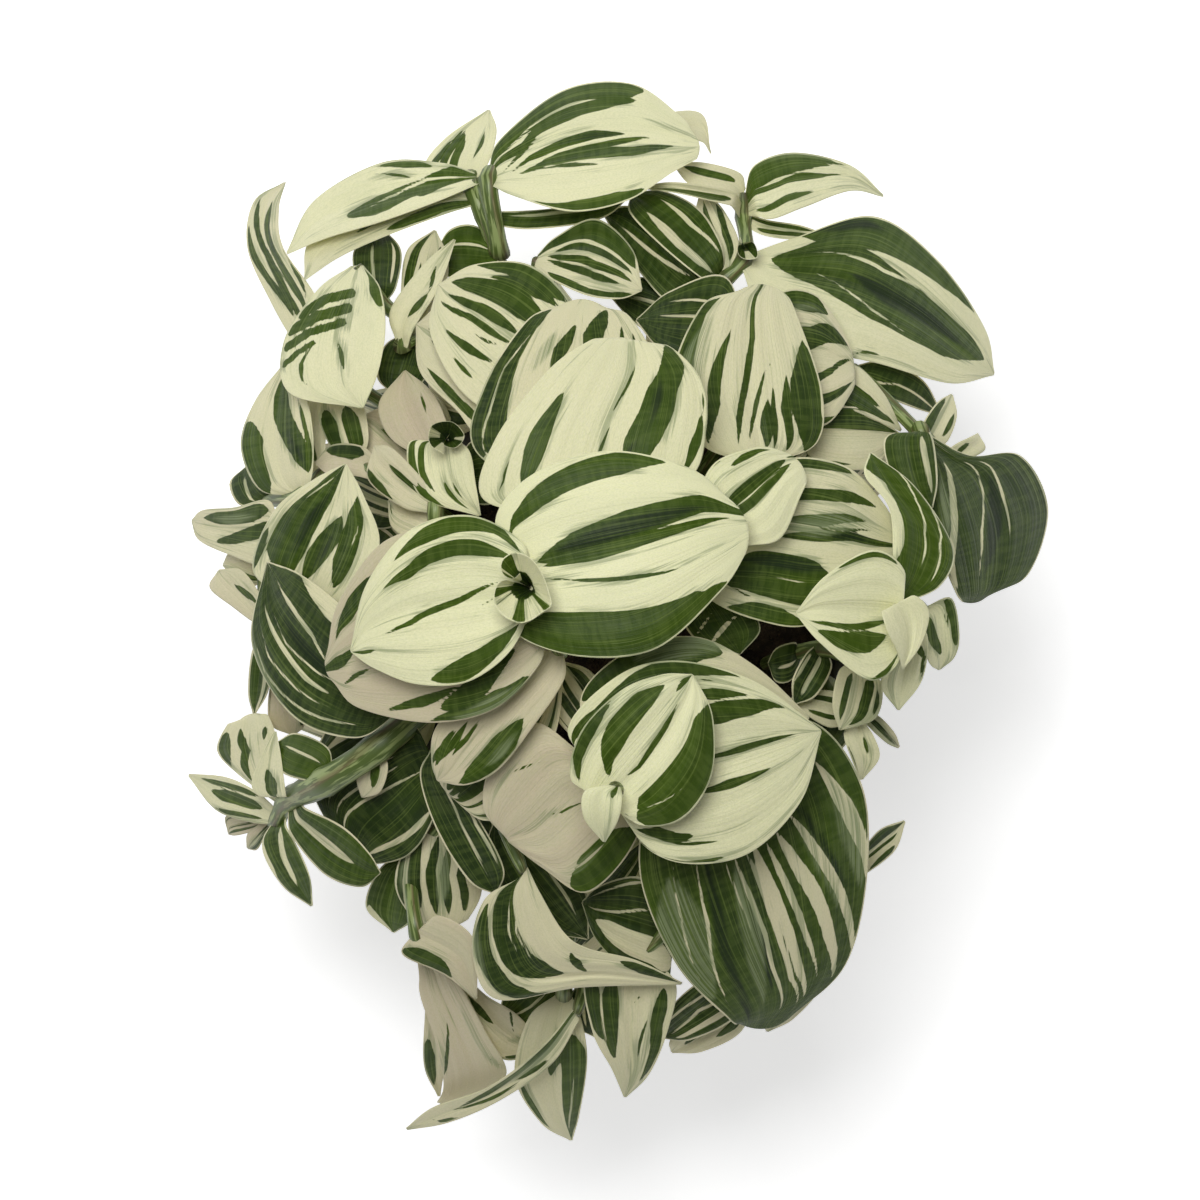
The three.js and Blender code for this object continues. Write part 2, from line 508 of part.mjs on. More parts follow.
// Leaves under the canopy, which hang over the rim: the shoot, then the plan angle in degrees, the
// plan radius of the tip and its height.
const SKIRT = [
  ["right_rosette", -8, 80, 76],
  ["right_rosette", 17, 92, 84],
  ["right_corner", -38, 76, 78],
  ["right_corner", -62, 82, 70],
  ["front_right", -74, 92, 84],
  ["front", -102, 97, 72],
  ["front_left", -125, 92, 72],
  ["front_left", -141, 84, 84],
  ["left_trailing", -161, 88, 74],
  ["left_outer", -173, 84, 84],
  ["left_back", 153, 90, 82],
  ["back_left_narrow", 142, 88, 70],
  ["back_left_curled", 121, 88, 82],
  ["back", 101, 86, 72],
  ["back_right_outer", 76, 88, 82],
  ["back_right_low", 55, 84, 74],
  ["right_back", 36, 84, 78],
];
const SKIRT_START_RADIUS = 55;
const SKIRT_HALF = 10.5;

// A path whose steps fall on its own points.
class StemPath extends THREE.Curve {
  constructor(points) {
    super();
    this.points = points;
  }

  getPointAt(u) {
    return this.points[Math.round(u * (this.points.length - 1))].clone();
  }

  getTangentAt(u) {
    const last = this.points.length - 1;
    const i = Math.round(u * last);
    if (i === 0) return new THREE.Vector3(0, 0, 1);
    const ahead = this.points[Math.min(i + 1, last)].clone().sub(this.points[i]).normalize();
    const behind = this.points[i].clone().sub(this.points[i - 1]).normalize();
    return ahead.add(behind).normalize();
  }
}

// The points of a stem's axis, which stands upright in the soil and then runs past its leaves.
function stemAxis(shoot) {
  const [x, y] = shoot.root;
  const route = [
    new THREE.Vector3(x, y, SOIL_TOP + 4),
    ...shoot.way.map((point) => new THREE.Vector3(...point)),
  ];
  for (const one of shoot.leaves) {
    const base = new THREE.Vector3(...one.base, dome(...one.base) + one.layer * LAYER);
    if (base.distanceTo(route.at(-1)) > STEM_RADIUS * 3) route.push(base);
  }
  const curve = new THREE.CatmullRomCurve3(route, false, "centripetal");
  const steps = Math.max(4, Math.round(curve.getLength() / STEM_STEP));
  return [new THREE.Vector3(x, y, SOIL_TOP - HOLE_DEPTH + FIT_GAP), ...curve.getSpacedPoints(steps)];
}

// The point of a stem's axis nearest to a place.
function heartOf(axis, place) {
  const nearest = new THREE.Vector3();
  const best = new THREE.Vector3();
  for (let i = 1; i < axis.length; i += 1) {
    new THREE.Line3(axis[i - 1], axis[i]).closestPointToPoint(place, true, nearest);
    if (i === 1 || nearest.distanceTo(place) < best.distanceTo(place)) best.copy(nearest);
  }
  return best;
}

// A skirt leaf starts where its stem passes over the rim and hangs outwards.
function skirtLeaf(axis, angle, reach, height) {
  const out = [Math.cos((angle * Math.PI) / 180), Math.sin((angle * Math.PI) / 180)];
  const place = new THREE.Vector3(out[0] * SKIRT_START_RADIUS, out[1] * SKIRT_START_RADIUS, POT_HEIGHT + 10);
  const start = heartOf(axis, place);
  const layer = (start.z - dome(start.x, start.y)) / LAYER;
  const tip = [out[0] * reach, out[1] * reach];
  const along = [tip[0] - start.x, tip[1] - start.y];
  const length = Math.hypot(...along);
  const side = (share, half) => [
    start.x + along[0] * share - (along[1] / length) * half,
    start.y + along[1] * share + (along[0] / length) * half,
  ];
  const half = Math.min(SKIRT_HALF, length * 0.36);
  const margin = (hand) => [side(0.3, hand * half), side(0.62, hand * half * 0.93)];
  const sag = dome(...tip) + layer * LAYER - height;
  return leaf(layer, [start.x, start.y], tip, margin(1), margin(-1), { sag });
}

function stemGeometry(axis) {
  const section = new THREE.Shape();
  for (let i = 0; i < STEM_SIDES; i += 1) {
    const angle = (2 * Math.PI * i) / STEM_SIDES;
    section[i ? "lineTo" : "moveTo"](STEM_RADIUS * Math.cos(angle), STEM_RADIUS * Math.sin(angle));
  }
  return new THREE.ExtrudeGeometry(section, {
    steps: axis.length - 1,
    extrudePath: new StemPath(axis),
    bevelEnabled: false,
  });
}

function shootParts(name) {
  const shoot = SHOOTS[name];
  const axis = stemAxis(shoot);
  const skirt = SKIRT.filter((row) => row[0] === name).map((row) => skirtLeaf(axis, ...row.slice(1)));
  const blades = [...shoot.leaves, ...skirt].map((one) => {
    const foot = new THREE.Vector3(...one.base, dome(...one.base) + one.layer * LAYER);
    const heart = heartOf(axis, foot);
    return one.rim ? cupGeometry(one, heart) : leafGeometry(one, heart);
  });
  return [stemGeometry(axis), ...blades].map(solidOf);
}

function shootSolid(name) {
  return mainBody(shootParts(name).reduce((whole, piece) => whole.add(piece)));
}

// ---- pot and soil -------------------------------------------------------------------------

function lathe(points, segments) {
  const profile = points.map(([r, z]) => new THREE.Vector2(r, z));
  return solidOf(new THREE.LatheGeometry(profile, segments).rotateX(Math.PI / 2));
}

function peg(x, y, z, radius, height, sides) {
  const geometry = new THREE.CylinderGeometry(radius, radius, height, sides).rotateX(Math.PI / 2);
  return solidOf(geometry.translate(x, y, z + height / 2));
}

function wallRadius(z) {
  return POT_BASE_RADIUS + ((POT_TOP_RADIUS - POT_BASE_RADIUS) * z) / POT_HEIGHT;
}

function potSolid() {
  const lip = 1;
  const bandFoot = POT_HEIGHT - RIM_BAND;
  const inside = wallRadius(FLOOR) - WALL;
  let pot = lathe(
    [
      [0, 0],
      [BASE_DISC_RADIUS, 0],
      [BASE_DISC_RADIUS + 1, RECESS],
      [POT_BASE_RADIUS - FOOT_WIDTH - 1, RECESS],
      [POT_BASE_RADIUS - FOOT_WIDTH, 0],
      [POT_BASE_RADIUS, 0],
      [wallRadius(bandFoot), bandFoot],
      [RIM_RADIUS - lip, bandFoot + lip],
      [RIM_RADIUS, POT_HEIGHT - lip],
      [RIM_RADIUS - lip, POT_HEIGHT],
      [wallRadius(POT_HEIGHT) - WALL + lip, POT_HEIGHT],
      [wallRadius(POT_HEIGHT) - WALL, POT_HEIGHT - lip],
      [inside, FLOOR],
      [0, FLOOR],
    ],
    28,
  );
  for (let i = 0; i < DRAIN_COUNT; i += 1) {
    const angle = (2 * Math.PI * i) / DRAIN_COUNT;
    const [x, y] = [DRAIN_RING * Math.cos(angle), DRAIN_RING * Math.sin(angle)];
    pot = pot.subtract(peg(x, y, -1, DRAIN_RADIUS, FLOOR + 2, 8));
  }
  return pot;
}

function soilSolid() {
  const reach = (z) => wallRadius(z) - WALL - FIT_GAP - 0.2;
  let soil = lathe(
    [
      [0, FLOOR + FIT_GAP],
      [reach(FLOOR), FLOOR + FIT_GAP],
      [reach(SOIL_TOP - 2), SOIL_TOP - 2],
      [reach(SOIL_TOP) - 4, SOIL_TOP - 0.5],
      [0, SOIL_TOP + 1],
    ],
    24,
  );
  for (const shoot of Object.values(SHOOTS)) {
    const [x, y] = shoot.root;
    soil = soil.subtract(peg(x, y, SOIL_TOP - HOLE_DEPTH, STEM_RADIUS + 0.8, HOLE_DEPTH + 4, 5));
  }
  return soil;
}

// ---- the whole plant ----------------------------------------------------------------------

const group = new THREE.Group();

function addNode(name, solid, look) {
  const mesh = new THREE.Mesh(geometryOf(solid), look);
  mesh.name = name;
  group.add(mesh);
}

addNode("pot", potSolid(), potLook);
addNode("soil", soilSolid(), soilLook);
for (const name of Object.keys(SHOOTS)) {
  addNode("stem_" + name, shootSolid(name), leafLook);
}

export default group;
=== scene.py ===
# Potted tradescantia: nursery pot, soil, and striped leafy stems that mound over the rim.
# Lengths in the dictionaries are millimetres in the frame of the CAD; meshes are in metres.
import json
import math
import random

import bmesh
import bpy
from mathutils import Matrix, Vector, noise

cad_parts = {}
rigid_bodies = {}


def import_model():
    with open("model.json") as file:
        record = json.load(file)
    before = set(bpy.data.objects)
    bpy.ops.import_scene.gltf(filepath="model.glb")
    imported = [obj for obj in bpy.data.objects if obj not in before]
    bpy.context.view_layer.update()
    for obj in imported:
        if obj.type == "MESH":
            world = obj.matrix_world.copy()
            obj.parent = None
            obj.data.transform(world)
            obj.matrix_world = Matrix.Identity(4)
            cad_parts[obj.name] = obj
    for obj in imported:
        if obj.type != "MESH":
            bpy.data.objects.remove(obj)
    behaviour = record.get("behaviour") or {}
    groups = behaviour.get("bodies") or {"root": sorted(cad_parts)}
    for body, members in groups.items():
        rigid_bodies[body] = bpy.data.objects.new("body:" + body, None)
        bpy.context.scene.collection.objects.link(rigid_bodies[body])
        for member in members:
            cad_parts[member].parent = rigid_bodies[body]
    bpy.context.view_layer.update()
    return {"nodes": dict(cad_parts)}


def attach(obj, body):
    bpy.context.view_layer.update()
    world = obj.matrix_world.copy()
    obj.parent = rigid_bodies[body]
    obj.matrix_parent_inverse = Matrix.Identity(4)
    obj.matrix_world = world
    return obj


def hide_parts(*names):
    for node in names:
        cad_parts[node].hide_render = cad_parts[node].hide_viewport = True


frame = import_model()
mm = 0.001
weld = 0.00001  # merge distance in metres
tiny = 1e-9  # keeps a division off zero
print("frame loaded:", len(frame["nodes"]), "nodes")

# Camera: straight down on the foliage through a long lens, in metres
cameraView = {"across": 0.300, "focusHeight": 0.150, "lens": 720, "sensor": 36, "centre": (-0.005, 0.003),
              "clip": 30}
cameraData = bpy.data.cameras.new("camera")
cameraData.lens = cameraView["lens"]
cameraData.sensor_width = cameraView["sensor"]
cameraData.clip_end = cameraView["clip"]
camera = bpy.data.objects.new("camera", cameraData)
reach = cameraView["across"] * cameraView["lens"] / cameraView["sensor"]
camera.location = (*cameraView["centre"], cameraView["focusHeight"] + reach)
bpy.context.collection.objects.link(camera)
bpy.context.scene.camera = camera


def clamp(value, underShade=0, high=1):
    return max(underShade, min(high, value))


# Node helpers
def addNode(tree, kind, *inputs, **settings):
    made = tree.nodes.new("ShaderNode" + kind)
    for name, value in settings.items():
        setattr(made, name, value)
    for socket, value in zip(made.inputs, inputs):
        plug(tree, value, socket)
    return made


def plug(tree, value, socket):
    if isinstance(value, bpy.types.NodeSocket):
        tree.links.new(value, socket)
    elif value is not None:
        socket.default_value = value


def calc(tree, operation, a, b):
    return addNode(tree, "Math", a, b, operation=operation).outputs[0]


def times(tree, a, b):
    return calc(tree, "MULTIPLY", a, b)


def plus(tree, a, b):
    return calc(tree, "ADD", a, b)


# Noise about its middle, made a swing to both sides of zero
def swing(tree, value, amount):
    return times(tree, calc(tree, "SUBTRACT", value, 0.5), amount)


def ramp(tree, value, underShade, high, outLow=0.0, outHigh=1.0):
    made = addNode(tree, "MapRange", value, underShade, high, outLow, outHigh, interpolation_type="SMOOTHSTEP")
    return made.outputs[0]


def mixColour(tree, amount, a, b):
    made = addNode(tree, "Mix", data_type="RGBA")
    for index, value in ((0, amount), (6, a), (7, b)):
        plug(tree, value, made.inputs[index])
    return made.outputs[2]


def grain(tree, vector, scale, detail, roughness):
    return addNode(tree, "TexNoise", vector, None, scale, detail, roughness).outputs[0]


def stretch(tree, vector, scale):
    made = addNode(tree, "Mapping", vector)
    made.inputs["Scale"].default_value = scale
    return made.outputs[0]


def newMaterial(name):
    made = bpy.data.materials.new(name)
    made.use_nodes = True
    tree = made.node_tree
    return made, tree, tree.nodes["Principled BSDF"]


def setBump(tree, shader, height, strength, distance):
    made = addNode(tree, "Bump", strength, distance)
    plug(tree, height, made.inputs["Height"])
    tree.links.new(made.outputs[0], shader.inputs["Normal"])


# Mesh helpers
def objectOf(name, bm):
    mesh = bpy.data.meshes.new(name)
    bm.to_mesh(mesh)
    bm.free()
    made = bpy.data.objects.new(name, mesh)
    bpy.context.collection.objects.link(made)
    return made


def finishPiece(name, bm, materials, nodes):
    piece = objectOf(name, bm)
    piece.data.shade_smooth()
    for one in materials:
        piece.data.materials.append(one)
    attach(piece, "root")
    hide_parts(*nodes)
    return piece


def spun(bm, profile, segments):
    ends = [bm.verts.new((x * mm, 0, z * mm)) for x, z in profile]
    edges = [bm.edges.new(pair) for pair in zip(ends, ends[1:])]
    bmesh.ops.spin(bm, geom=ends + edges, cent=(0, 0, 0), axis=(0, 0, 1), angle=2 * math.pi, steps=segments,
                   use_merge=True)
    bmesh.ops.remove_doubles(bm, verts=bm.verts, dist=weld)
    bmesh.ops.recalc_face_normals(bm, faces=bm.faces)


# Pot: a moulded nursery pot with a rim band, a foot ring and drain holes
pot = {
    "height": 110, "topRadius": 57.5, "baseRadius": 43, "rimRadius": 60, "rimBand": 13, "wall": 2, "floor": 4,
    "discRadius": 14, "recess": 2, "footWidth": 6, "slope": 1, "lip": 0.8, "lipSteps": 4, "lipShare": 0.45,
    "beads": (18, 88), "beadRise": 0.35, "beadFlat": 0.4, "segments": 128, "sharpAngle": 35,
    "drains": 6, "drainRadius": 3.5, "drainRing": 26, "drainDepth": 12, "drainHeight": 3, "drainSegments": 28,
}
potLook = {
    "dark": (0.022, 0.021, 0.02, 1), "light": (0.034, 0.032, 0.029, 1), "cloud": (38, 3, 0.55),
    "cloudMix": (0.35, 0.68), "speckle": (0.06, 0.057, 0.052, 1), "speckleGrain": (1800, 3, 0.6),
    "speckleMix": (0.55, 0.8, 0, 0.3), "scuff": (0.12, 0.115, 0.105, 1), "scuffStretch": (90, 90, 600),
    "scuffGrain": (1, 4, 0.65), "scuffMix": (0.6, 0.85, 0, 0.35), "gloss": (0.3, 0.7, 0.5, 0.62),
    "bump": (0.25, 0.0002),
}


def wallRadius(z):
    return pot["baseRadius"] + (pot["topRadius"] - pot["baseRadius"]) * z / pot["height"]


# A profile with its corners rounded
def rounded(corners, radius):
    out = []
    for before, corner, after in zip([None] + corners[:-1], corners, corners[1:] + [None]):
        here = Vector(corner)
        if before is None or after is None:
            out.append(tuple(here))
            continue
        back, ahead = Vector(before) - here, Vector(after) - here
        cut = min(radius, back.length * pot["lipShare"], ahead.length * pot["lipShare"])
        start, end = here + back.normalized() * cut, here + ahead.normalized() * cut
        for i in range(pot["lipSteps"] + 1):
            t = i / pot["lipSteps"]
            out.append(tuple(start * (1 - t) ** 2 + here * 2 * t * (1 - t) + end * t ** 2))
    return out


def potProfile():
    foot, disc, recess, slope = pot["baseRadius"], pot["discRadius"], pot["recess"], pot["slope"]
    step, rim, floor = foot - pot["footWidth"], pot["rimRadius"], pot["floor"]
    top, under = pot["height"], pot["height"] - pot["rimBand"]
    inner = wallRadius(top) - pot["wall"]
    outer = [(0, 0), (disc, 0), (disc + slope, recess), (step - slope, recess), (step, 0), (foot, 0)]
    for z in pot["beads"]:
        swell = wallRadius(z) + pot["beadRise"]
        outer += [(wallRadius(z - slope), z - slope), (swell, z - pot["beadFlat"]),
                  (swell, z + pot["beadFlat"]), (wallRadius(z + slope), z + slope)]
    outer += [(wallRadius(under), under), (rim - slope, under + slope), (rim, top - slope),
              (rim - slope, top), (inner + slope, top), (inner, top - slope),
              (wallRadius(floor) - pot["wall"], floor), (0, floor)]
    return rounded(outer, pot["lip"])


def drainCutter():
    bm = bmesh.new()
    ring, radius = pot["drainRing"], pot["drainRadius"] * mm
    for i in range(pot["drains"]):
        angle = 2 * math.pi * i / pot["drains"]
        place = Matrix.Translation((ring * math.cos(angle) * mm, ring * math.sin(angle) * mm,
                                    pot["drainHeight"] * mm))
        bmesh.ops.create_cone(bm, cap_ends=True, segments=pot["drainSegments"], radius1=radius,
                              radius2=radius, depth=pot["drainDepth"] * mm, matrix=place)
    return objectOf("drainCutter", bm)


def potMaterial():
    made, tree, shader = newMaterial("potPlastic")
    place = addNode(tree, "TexCoord").outputs["Object"]
    speckle = grain(tree, place, *potLook["speckleGrain"])
    cloud = grain(tree, place, *potLook["cloud"])
    scuff = grain(tree, stretch(tree, place, potLook["scuffStretch"]), *potLook["scuffGrain"])
    base = mixColour(tree, ramp(tree, cloud, *potLook["cloudMix"]), potLook["dark"], potLook["light"])
    base = mixColour(tree, ramp(tree, speckle, *potLook["speckleMix"]), base, potLook["speckle"])
    base = mixColour(tree, ramp(tree, scuff, *potLook["scuffMix"]), base, potLook["scuff"])
    tree.links.new(base, shader.inputs["Base Color"])
    tree.links.new(ramp(tree, cloud, *potLook["gloss"]), shader.inputs["Roughness"])
    setBump(tree, shader, speckle, *potLook["bump"])
    return made


def buildPot():
    bm = bmesh.new()
    spun(bm, potProfile(), pot["segments"])
    piece = finishPiece("pot_shell", bm, [potMaterial()], ["pot"])
    cutter = drainCutter()
    cut = piece.modifiers.new("drains", "BOOLEAN")
    cut.operation, cut.object, cut.solver = "DIFFERENCE", cutter, "EXACT"
    view = bpy.context.evaluated_depsgraph_get()
    shell = bpy.data.meshes.new_from_object(piece.evaluated_get(view), depsgraph=view)
    piece.modifiers.clear()
    piece.data = shell
    bpy.data.objects.remove(cutter)
    shell.set_sharp_from_angle(angle=math.radians(pot["sharpAngle"]))
    print("pot:", len(shell.polygons), "faces")


buildPot()

# Soil: a crumbly top inside the rim, down to the floor of the pot
soil = {
    "top": 100, "gap": 0.3, "middle": 50, "shoulder": 2, "dip": 1, "crown": 1.6, "crownRings": 6, "rings": 44,
    "segments": 120, "loose": 0.5, "bumps": (260, 0.9, 2.1, 4), "bumpRange": (-0.8, 1), "rough": 1.3,
    "crumbs": 420, "crumbInset": 2.5, "crumbLift": 0.7, "crumbSize": (0.5, 1.5), "crumbTurn": 3,
    "crumbWide": (0.6, 1), "crumbTall": (0.5, 0.8), "seed": 11,
}
soilLook = {
    "dark": (0.014, 0.009, 0.006, 1), "light": (0.05, 0.031, 0.02, 1), "clump": (170, 3, 0.6),
    "clumpMix": (0.35, 0.65), "bark": (0.13, 0.086, 0.055, 1), "fine": (900, 4, 0.65),
    "fineMix": (0.58, 0.75, 0, 0.7), "bump": (0.8, 0.0012),
}


def soilProfile():
    bottom, rings = pot["floor"] + soil["gap"], soil["rings"]
    side = [(wallRadius(z) - pot["wall"] - soil["gap"], z)
            for z in (bottom, soil["middle"], soil["top"] - soil["shoulder"])]
    edge, underShade = side[-1][0], soil["top"] - soil["dip"]
    top = [(edge * (1 - i / rings), underShade + soil["crown"] * min(1, i / soil["crownRings"]))
           for i in range(rings + 1)]
    return [(0, bottom)] + side + top


def soilMaterial():
    made, tree, shader = newMaterial("soilCrumb")
    place = addNode(tree, "TexCoord").outputs["Object"]
    fine = grain(tree, place, *soilLook["fine"])
    clump = grain(tree, place, *soilLook["clump"])
    base = mixColour(tree, ramp(tree, clump, *soilLook["clumpMix"]), soilLook["dark"], soilLook["light"])
    base = mixColour(tree, ramp(tree, fine, *soilLook["fineMix"]), base, soilLook["bark"])
    tree.links.new(base, shader.inputs["Base Color"])
    shader.inputs["Roughness"].default_value = 0.95
    setBump(tree, shader, fine, *soilLook["bump"])
    return made


def buildSoil():
    dice = random.Random(soil["seed"])
    bm = bmesh.new()
    spun(bm, soilProfile(), soil["segments"])
    scale, *fractal = soil["bumps"]
    for vert in bm.verts:
        if vert.co.z > (soil["top"] - soil["loose"]) * mm:
            bumps = noise.fractal(vert.co * scale, *fractal)
            vert.co.z += clamp(bumps, *soil["bumpRange"]) * soil["rough"] * mm
    edge = wallRadius(soil["top"]) - pot["wall"] - soil["crumbInset"]
    for _ in range(soil["crumbs"]):
        angle, away = dice.uniform(0, 2 * math.pi), edge * math.sqrt(dice.random())
        size = dice.uniform(*soil["crumbSize"])
        spin = dice.uniform(0, soil["crumbTurn"])
        turn = Matrix.Rotation(spin, 4, Vector((dice.random(), dice.random(), 1)))
        place = Matrix.Translation((away * math.cos(angle) * mm, away * math.sin(angle) * mm,
                                    (soil["top"] + soil["crumbLift"]) * mm))
        squash = Matrix.Diagonal((1, dice.uniform(*soil["crumbWide"]), dice.uniform(*soil["crumbTall"]), 1))
        bmesh.ops.create_icosphere(bm, subdivisions=1, radius=size * mm, matrix=place @ turn @ squash)
    finishPiece("soil_bed", bm, [soilMaterial()], ["soil"])
    print("soil laid")


buildSoil()

# Foliage: leaves lie in layers over a dome
dome = {"rim": 100, "rise": 65, "x": 105, "y": 130, "skirtStart": 0.75, "skirtDrop": 100, "layer": 8.5}
# Shape of a leaf, then the painted shade that darkens its lower ones, and how finely it is cut
blade = {
    "baseHalf": 1.6, "tipHalf": 0.35, "bluntFrom": 0.7, "bluntRound": 0.35, "arch": 1.6, "fold": 1.2,
    "keel": 0.1, "thick": 0.5, "pillow": 0.9, "pleat": 0.16, "wave": 0.55, "fullWidth": 26,
    "waves": ((14, 22), (0, 6), (9, 16), (0, 6)), "sheathShare": 0.2, "underShadeLayer": 2.5, "underShadeFade": 6,
    "underShadeBuff": 0.22, "underShadeDark": 0.3, "along": 0.85, "across": 0.5, "rowRange": (12, 90),
    "columnRange": (8, 96), "quickShare": 2.2, "planSteps": 20, "rows": 60, "mapUnit": 10,
}
# Bands of a leaf: widths and depths in millimetres, the rest as shares of the leaf
band = {
    "least": 0.9, "leastLine": 0.55, "grow": 1.22, "openBase": 0.12, "openTip": 0.93, "shortest": 0.06,
    "stretch": 0.03, "taper": 0.12, "roundness": 0.6, "pastEnd": 0.6, "overrun": 0.1, "nowhere": -9,
    "deepest": 6, "rim": 0.4, "veilEdge": 0.5, "darkEdge": 0.6, "outside": 3,
}
looseBand = {"halves": (0.03, 0.05, 0.09, 0.16), "reach": 0.92, "start": (-0.3, 0.25), "end": (0.7, 1.3),
             "drift": (-0.08, 0.08), "cover": 0.9}
# How a rolled leaf is shaped and cut, with the green and the painted shade at its bottom
roll = {"sheathShare": 0.3, "bottom": 0.06, "flare": 0.75, "lift": 0.3, "seam": 0.3, "rim": 0.4,
        "heart": (1.6, 6), "darkAndPaintedShade": (1.5, 3.4), "rows": 14, "leastColumns": 36, "across": 0.7}
stem = {
    "radius": 1.75, "sides": 12, "step": 3.2, "fewest": 4, "samples": 400, "node": 0.55, "nodeReach": 2.2,
    "holeDepth": 15.7, "rootRise": 4, "spacing": 6.6, "thickFrom": 112, "thickOver": 20, "endShare": 0.5,
    "taper": 8, "ring": 0.9, "bareRings": 3, "blush": 0.6, "blushStripes": 3, "blushTwist": 0.05,
    "mapTurn": 0.5,
}
skirt = {"startRadius": 55, "startHeight": 120, "half": 10.5, "halfShare": 0.36,
         "margins": ((0.3, 1), (0.62, 0.93)), "look": {"age": 0.45, "deep": 0.6, "share": 0.5}}


def leafyStem(root, way, leaves, skirt=(), thick=1):
    return dict(root=root, way=way, leaves=leaves, skirt=skirt, thick=thick)


def leaf(layer, base, tip, left, right, age=0.5, deep=0.5, **look):
    return dict(layer=layer, base=base, tip=tip, left=left, right=right, age=age, deep=deep, **look)


def cup(layer, base, rim, rise, **look):
    return dict(layer=layer, base=base, rim=rim, rise=rise, **look)
